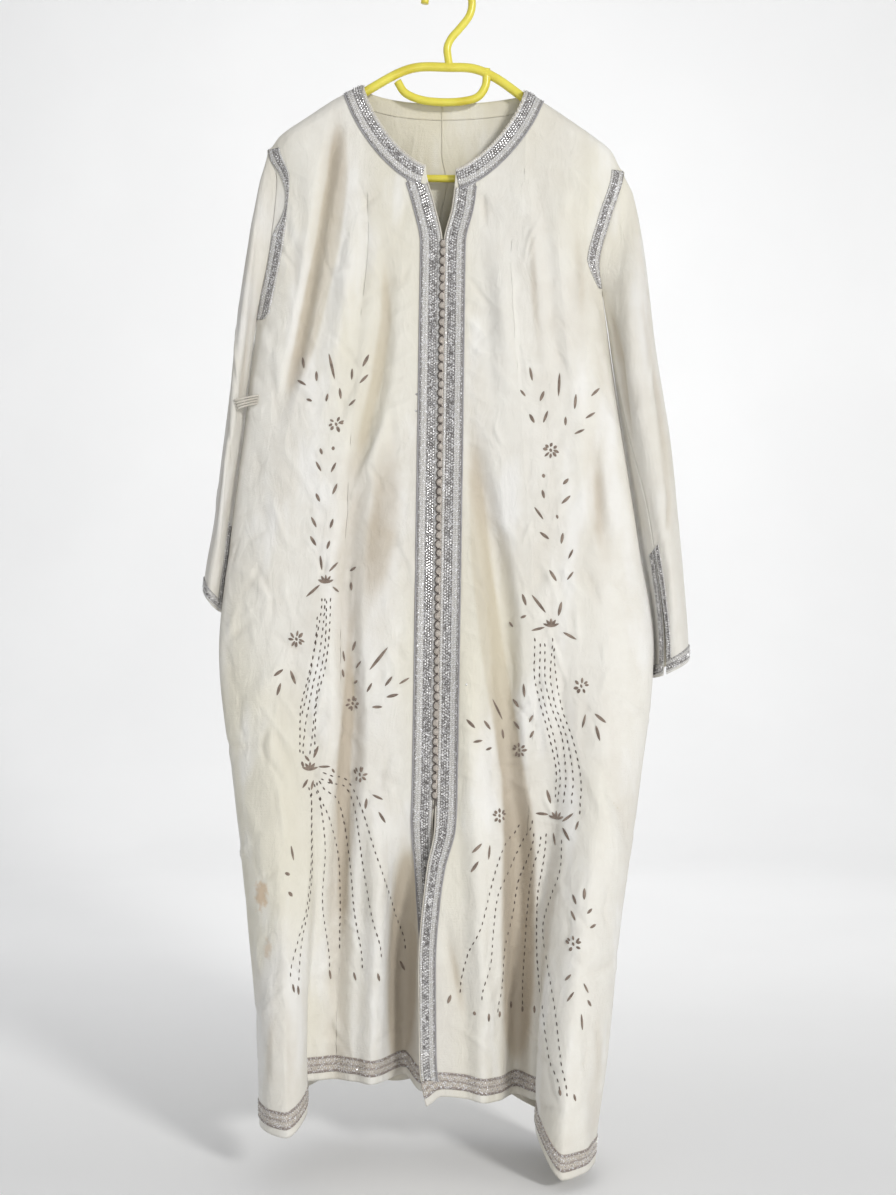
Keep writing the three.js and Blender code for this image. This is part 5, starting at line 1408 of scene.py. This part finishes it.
for side in signOf:
    # cuff braid round the sleeve's end, and two strips up the slit
    length, slitFrom = slitOf(side)
    ways = 1 - (3 + 18 * np.linspace(1, 0, 21)) / length
    shares = np.linspace(0.003, 0.997, 201)
    ww, ss = np.meshgrid(ways, shares, indexing="xy")
    p, n = onSleeve(side, ss, ww)
    onCloth["sleeve_" + side] += braidPiece(f"cuff_braid_{side}", p, n, (0.42, 0.54, 0.66), 3.4, 1.15)
    for face, start, facing in (("front", 1.0, -1), ("back", 0.0, 1)):
        wide = 11.4 / sleeveLine[side]["girth"]
        w = np.linspace(0.05, 1, 17)
        ww = np.repeat(np.linspace(slitFrom, 1 - 21.5 / length, 121)[:, None], 17, 1)
        ss = start + facing * wide * np.repeat(w[None], 121, 0)
        p, n = onSleeve(side, ss, ww)
        onCloth["sleeve_" + side] += braidPiece(f"slit_braid_{face}_{side}", p, n, (0.4, 0.62), 3.4, 1.2)

print("cords and knots")
cordLift = 1.2
forwards, backwards, upwards = np.array([0.0, -1.0, 0.0]), np.array([0.0, 1.0, 0.0]), np.array([0.0, 0.0, 1.0])


def edgeCord(name, path, normals, radius, material):
    piece = joinedPiece(name, [tubeArrays(path + normals * cordLift, normals, radius, 7)], [material])
    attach(piece, "root")
    return piece


for side in signOf:
    # a grey cord along the outer edge of the centre braid and a pale one along the closure
    z = np.linspace(neck[side]["frontZ"] - 24, centreBottom(side), 520)
    for tag, far, radius, material in (("outer", 28.9, 1.0, greyCord), ("inner", 1.3, 0.9, paleCord)):
        p, n = onPanel(side, shareAtDistance(side, z, far * braidShare(z)), z)
        onCloth[side].append(edgeCord(f"centre_{tag}_cord_{side}", p, n, radius, material))
    # the same round the collar
    t = np.linspace(0.0, 0.985, 260)
    for tag, far, scallop, radius, material in (("outer", 26.8, 0.0, 1.0, greyCord), ("neck", 1.5, 1.0, 1.1, paleCord)):
        x, z = necklineMoved(side, t, far + scallop * np.sin(t * 190))
        keep = z < collarEnd(side, x) - 0.8
        path = resampled(np.stack([x[keep], z[keep]], -1), 240)
        p, n = atPlace(side, path[:, 0], path[:, 1])
        onCloth[side].append(edgeCord(f"collar_{tag}_cord_{side}", p, n, radius, material))

buttonRow = {"count": 63, "top": -352.0, "bottom": -1074.0, "lift": 4.9, "loop": 3.9, "shift": 1.7, "cord": 1.15}


def closureMiddle(z):
    x = (through(closure[:, 0], closure[:, 1], z) + through(closure[:, 0], closure[:, 3], z)) / 2
    y = np.minimum(through(closure[:, 0], closure[:, 2], z), through(closure[:, 0], closure[:, 4], z)) - cut["gap"] / 2
    return x, y


def knotShape(rows=8, sides=14):
    # a ball of wound thread: a sphere whose radius swells along slanting turns
    turn, rise = np.arange(sides) * 2 * math.pi / sides, np.linspace(-0.47, 0.47, rows) * math.pi
    r, a = np.meshgrid(rise, turn, indexing="ij")
    swell = 1 + 0.09 * np.sin(3 * a + 2.2 * r) * np.cos(r)
    body = np.stack([np.cos(r) * np.cos(a) * swell, np.cos(r) * np.sin(a) * swell, np.sin(r) * swell], -1)
    points = np.concatenate([body.reshape(-1, 3), [[0, 0, 1], [0, 0, -1]]])
    k, top, n = np.arange(sides), (rows - 1) * sides, rows * sides
    tris = np.concatenate([np.stack([top + k, top + (k + 1) % sides, np.full(sides, n)], -1),
                           np.stack([(k + 1) % sides, k, np.full(sides, n + 1)], -1)])
    return points, gridFaces(rows, sides, wrapColumns=True), tris


count = buttonRow["count"]
z = np.linspace(buttonRow["top"], buttonRow["bottom"], count)
x, y = closureMiddle(z)
jitter = rng.normal(0, 0.35, (count, 2))
places = np.stack([x + jitter[:, 0], y - buttonRow["lift"], z + jitter[:, 1]], -1)
offs = unitRows(np.stack([rng.normal(0, 0.25, count), -np.ones(count), rng.normal(0, 0.25, count)], -1))
alongs = unitRows(np.cross(offs, [1.0, 0.0, 0.0]))
sizes = np.stack([rng.uniform(4.5, 5.1, count), rng.uniform(3.4, 3.9, count), np.full(count, 3.5)], -1)
balls = scattered(*knotShape(), places, np.cross(alongs, offs), alongs, offs, sizes)
knots = joinedPiece("button_knots", [balls], [knotThread])
loops, bases = [], []
for k in range(count):
    # a dark loop lies round the left side of each knot and dips into the gaps above and below it
    turn = np.radians(np.linspace(52, 300, 15)) + rng.normal(0, 0.1)
    x1, z1 = buttonRow["loop"] * np.cos(turn), rng.uniform(5.0, 5.6) * np.sin(turn)
    path = places[k] + np.stack([x1, np.full(len(turn), 0.6), z1], -1)
    loops.append(tubeArrays(path, forwards, rng.uniform(0.5, 0.85), 5))
cordZ = np.linspace(buttonRow["top"] + 4, buttonRow["bottom"] - 4, 200)
cordX, cordY = closureMiddle(cordZ)
for shift in (-buttonRow["shift"], buttonRow["shift"]):
    path = np.stack([cordX + shift, cordY - buttonRow["shift"], cordZ], -1)
    bases.append(tubeArrays(path, forwards, buttonRow["cord"], 6))
basePiece = joinedPiece("button_cord", bases, [knotThread])
# loose thread ends below the last knot
for dx, dz in ((-2.5, -16), (1.5, -12)):
    t = np.linspace(0, 1, 10)[:, None]
    start = np.array([[x[-1], y[-1] - 2.2, z[-1] - 2]])
    path = start + t * np.array([[dx, -1.2, dz]]) + np.sin(t * 3) * np.array([[1.4, -0.6, 0]])
    loops.append(tubeArrays(path, forwards, 0.6, 5))
loopPiece = joinedPiece("button_loops", loops, [darkCord])
for piece in (knots, loopPiece, basePiece):
    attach(piece, "root")
    onCloth["right"].append(piece)
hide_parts("buttons")
# inside the back neck: a facing's stitched edge, and the seam down the middle of the back inside and out
backLines = {"facing": 21, "seamX": -8, "seamEnd": -1470}
stitched = []
x = np.linspace(neck["right"]["shoulderX"] + 6, neck["left"]["shoulderX"] - 6, 90)
share = backShareAt(x)
p, n = onPanel("back", share, backTop(x) - backLines["facing"])
stitched.append(tubeArrays(p - n * (clothWall + 0.5), -n, 0.75, 6))
zs = np.linspace(cut["backNeck"] - 3, backLines["seamEnd"], 300)
p, n = onPanel("back", np.full(300, backShareAt(backLines["seamX"])), zs)
stitched.append(tubeArrays(p - n * (clothWall + 0.4), -n, 0.9, 6))
stitched.append(tubeArrays(p + n * 0.1, n, 0.55, 6))
backSeams = joinedPiece("back_seams", stitched, [lining])
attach(backSeams, "root")
onCloth["back"].append(backSeams)

# the belt loop: strands of pale cord sewn beside the side seam, standing out over the sleeve
beltLoop = {"strands": 4, "top": -551, "apart": 3.4, "fall": 7, "share": 0.845, "endX": -281.0, "radius": 1.3}
strands = []
for k in range(beltLoop["strands"]):
    t = np.linspace(0, 1, 12)
    zs = beltLoop["top"] - beltLoop["apart"] * k - beltLoop["fall"] * t
    sewn = frontPoint("right", np.full(12, beltLoop["share"]), zs)
    x = mix(sewn[:, 0], beltLoop["endX"] + 1.5 * k, t)
    path = np.stack([x, sewn[:, 1] - 2.2 - 3.6 * np.sin(t * 2.6), zs], -1)
    strands.append(tubeArrays(path, forwards, beltLoop["radius"], 6))
belt = joinedPiece("belt_loop_strands", strands, [paleCord])
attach(belt, "root")
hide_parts("belt_loop")
onCloth["right"].append(belt)

print("stitched leaves")
stitchPitch = 9.0


def leanShares(side, x, z, step=2.0):
    # a step across or down over the distance on the cloth that it covers: small where the cloth leans away
    aside = atPlace(side, x + step, z)[0] - atPlace(side, x - step, z)[0]
    down = atPlace(side, x, z + step)[0] - atPlace(side, x, z - step)[0]
    return tuple(np.clip(2 * step / np.linalg.norm(way, axis=-1), 0.3, 1) for way in (aside, down))


def layStitches(name, side, x, z, angle, length, width, height, material, shape):
    # small raised forms laid on the cloth: the shape's own points are turned, put at their place and pressed
    # on to the creased surface
    local, quads, tris = shape
    a = np.radians(angle)[:, None]
    u, v = local[None, :, 0] * (length / 2)[:, None], local[None, :, 1] * (width / 2)[:, None]
    shareX, shareZ = leanShares(side, x, z)
    px = x[:, None] + (v * np.cos(a) - u * np.sin(a)) * shareX[:, None]
    pz = z[:, None] + (u * np.cos(a) + v * np.sin(a)) * shareZ[:, None]
    p, n = atPlace(side, px, pz)
    points = p + n * (0.25 + local[None, :, 2] * height[:, None])[..., None]
    step = (np.arange(len(x)) * len(local))[:, None, None]
    uv = np.stack([u * mm + 0.01, local[None, :, 1] * 0.5 + 0.5 + 0 * u], -1).reshape(-1, 2)
    faces = (quads[None] + step).reshape(-1, 4), (tris[None] + step).reshape(-1, 3)
    piece = joinedPiece(name, [(points.reshape(-1, 3), *faces, uv)], [material])
    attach(piece, "root")
    onCloth[side].append(piece)


for side in signOf:
    rows = np.array(leaves[side], float)
    n = len(rows)
    x, z = rows[:, 0] + rng.normal(0, 0.8, n), rows[:, 1] + rng.normal(0, 0.8, n)
    layStitches(
        f"stitched_leaves_{side}", side, x, z, rows[:, 3] + rng.normal(0, 4, n), rows[:, 2] * rng.uniform(0.82, 1.0, n),
        rng.uniform(3.0, 4.4, n), rng.uniform(1.0, 1.4, n), leafThread, stitchShape(13, 7, 0.7),
    )
    # flowers: petals of short stitches round a knotted middle, each with its place, angle and length
    petals = []
    for cx, cz, size in flowers[side]:
        for k in range(8):
            a = 45 * k + rng.normal(0, 9)
            dx, dz = math.sin(math.radians(a)) * size * 0.66, math.cos(math.radians(a)) * size * 0.66
            petals.append((cx - dx, cz + dz, a + rng.normal(0, 10), size * rng.uniform(0.5, 0.78)))
        petals.append((cx, cz, 20, 5.0))
    for cx, cz in ties[side]:
        for k in range(5):
            a = (k - 2) * 34 + 90
            petals.append((cx + 5 * math.cos(math.radians(a)), cz + 5 * math.sin(math.radians(a)), a - 90, 12))
    n = len(petals)
    layStitches(
        f"stitched_flowers_{side}", side, *np.array(petals, float).T, rng.uniform(2.8, 4.4, n), np.full(n, 1.3),
        leafThread, stitchShape(7, 5, 0.7),
    )
    # running stitches at even steps along every line
    spots, angles = [], []
    for line in runs[side]:
        pts = np.array(line, float)
        z = np.linspace(pts[0, 1], pts[-1, 1], 60)
        smooth = np.stack([through(pts[:, 1], pts[:, 0], z), z], -1)
        long = np.linalg.norm(np.diff(smooth, axis=0), axis=-1).sum()
        spots.append(resampled(smooth, max(3, int(long / stitchPitch))))
        step = np.gradient(spots[-1], axis=0)
        angles.append(np.degrees(np.arctan2(-step[:, 0], step[:, 1])))
    spots, angles = np.concatenate(spots), np.concatenate(angles)
    n = len(spots)
    layStitches(
        f"running_stitches_{side}", side, *spots.T, angles + rng.normal(0, 5, n), rng.uniform(4.2, 6.0, n),
        rng.uniform(1.5, 1.9, n), np.full(n, 0.8), stitchThread, stitchShape(5, 3, 0.5),
    )

# a few single stones sewn to the cloth beside the braid
x, z = np.array([-41.0, -42.0, -40.0, 24.0]), np.array([-551.0, -573.0, -880.0, -930.0])
for side in signOf:
    mine = x * signOf[side] > 0
    p, n = atPlace(side, x[mine], z[mine])
    away = unitRows(np.cross(n, upwards))
    cutStones = scattered(*facetedStone(), p + n * 0.2, away, np.cross(n, away), n, 1.7)
    single = joinedPiece(f"single_stones_{side}", [cutStones], [stones], smooth=False)
    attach(single, "root")
    onCloth[side].append(single)

print("hanger")
hangerLines = {
    "arms": (6.0, [(-172, -258.6), (-194, -257), (-210, -248), (-216, -232), (-212, -214), "right",
                   (-64, -119), (-40, -112), (0, -112), (35, -114), (63, -126), "left",
                   (201, -232), (201, -247), (190, -260), (168, -262.6)]),
    "bar": (5.0, [(-182, -258.4), (-90, -259.2), (0, -260), (90, -261), (178, -262.5)]),
    "hook": (5.2, [(-31, -27), (-28.5, -12), (-17, 0.3), (0, 5.2), (17, 0.3), (28.5, -12), (32, -27), (28.5, -43),
                   (15, -61), (4, -74), (-1, -86), (0, -99), (2, -111)]),
    "innerHook": (5.4, [(51, -114), (50, -136), (40, -151), (20, -157), (-15, -158), (-40, -154), (-58, -145),
                        (-67, -131)]),
}


def armPoints(side):
    # under the shoulder seam, a tube's radius and the cloth's thickness square to it
    drop, sign = 1.4 + 2.7 + 6.0, signOf[side]
    x = neck[side]["shoulderX"] + sign * np.array([11.0, 36.0, 62.0, 90.0])
    fall = (shoulderHeight(side, x - 4) - shoulderHeight(side, x + 4)) / 8
    length = np.hypot(1, fall)
    made = list(zip(x - fall / length * drop, shoulderHeight(side, x) - drop / length))
    return made[::-1] if side == "right" else made


def smoothRoute(points, count):
    # a centripetal Catmull-Rom curve through the points
    p = np.array(points, float)
    p = np.concatenate([[2 * p[0] - p[1]], p, [2 * p[-1] - p[-2]]])
    t = np.concatenate([[0], np.cumsum(np.sqrt(np.linalg.norm(np.diff(p, axis=0), axis=-1)))])
    at = np.linspace(t[1], t[-2] - 1e-6, count)
    i = np.clip(np.searchsorted(t, at, side="right") - 1, 1, len(p) - 3)
    t0, t1, t2, t3 = (t[i + k][:, None] for k in (-1, 0, 1, 2))
    p0, p1, p2, p3 = (p[i + k] for k in (-1, 0, 1, 2))
    at = at[:, None]
    a1, a2 = mix(p0, p1, (at - t0) / (t1 - t0)), mix(p1, p2, (at - t1) / (t2 - t1))
    a3 = mix(p2, p3, (at - t2) / (t3 - t2))
    b1, b2 = mix(a1, a2, (at - t0) / (t2 - t0)), mix(a2, a3, (at - t1) / (t3 - t1))
    return mix(b1, b2, (at - t1) / (t2 - t1))


bars = []
for name, (radius, line) in hangerLines.items():
    points = []
    for place in line:
        points += armPoints(place) if isinstance(place, str) else [place]
    route = resampled(smoothRoute(points, 400), 26 * len(points) // 3)
    path = np.stack([route[:, 0], 0 * route[:, 0], route[:, 1]], -1)
    bars.append(joinedPiece("hanger_" + name, [tubeArrays(path, backwards, radius, 20)], [yellow]))
body = bars[0]
for other in bars[1:]:
    union = body.modifiers.new("join", "BOOLEAN")
    union.operation, union.solver, union.object = "UNION", "EXACT", other
graph = bpy.context.evaluated_depsgraph_get()
whole = bpy.data.meshes.new_from_object(body.evaluated_get(graph))
body.modifiers.clear()
body.data = whole
body.name = "hanger_body"
for other in bars[1:]:
    bpy.data.objects.remove(other)
whole.polygons.foreach_set("use_smooth", np.ones(len(whole.polygons), bool))
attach(body, "root")
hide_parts("hanger")
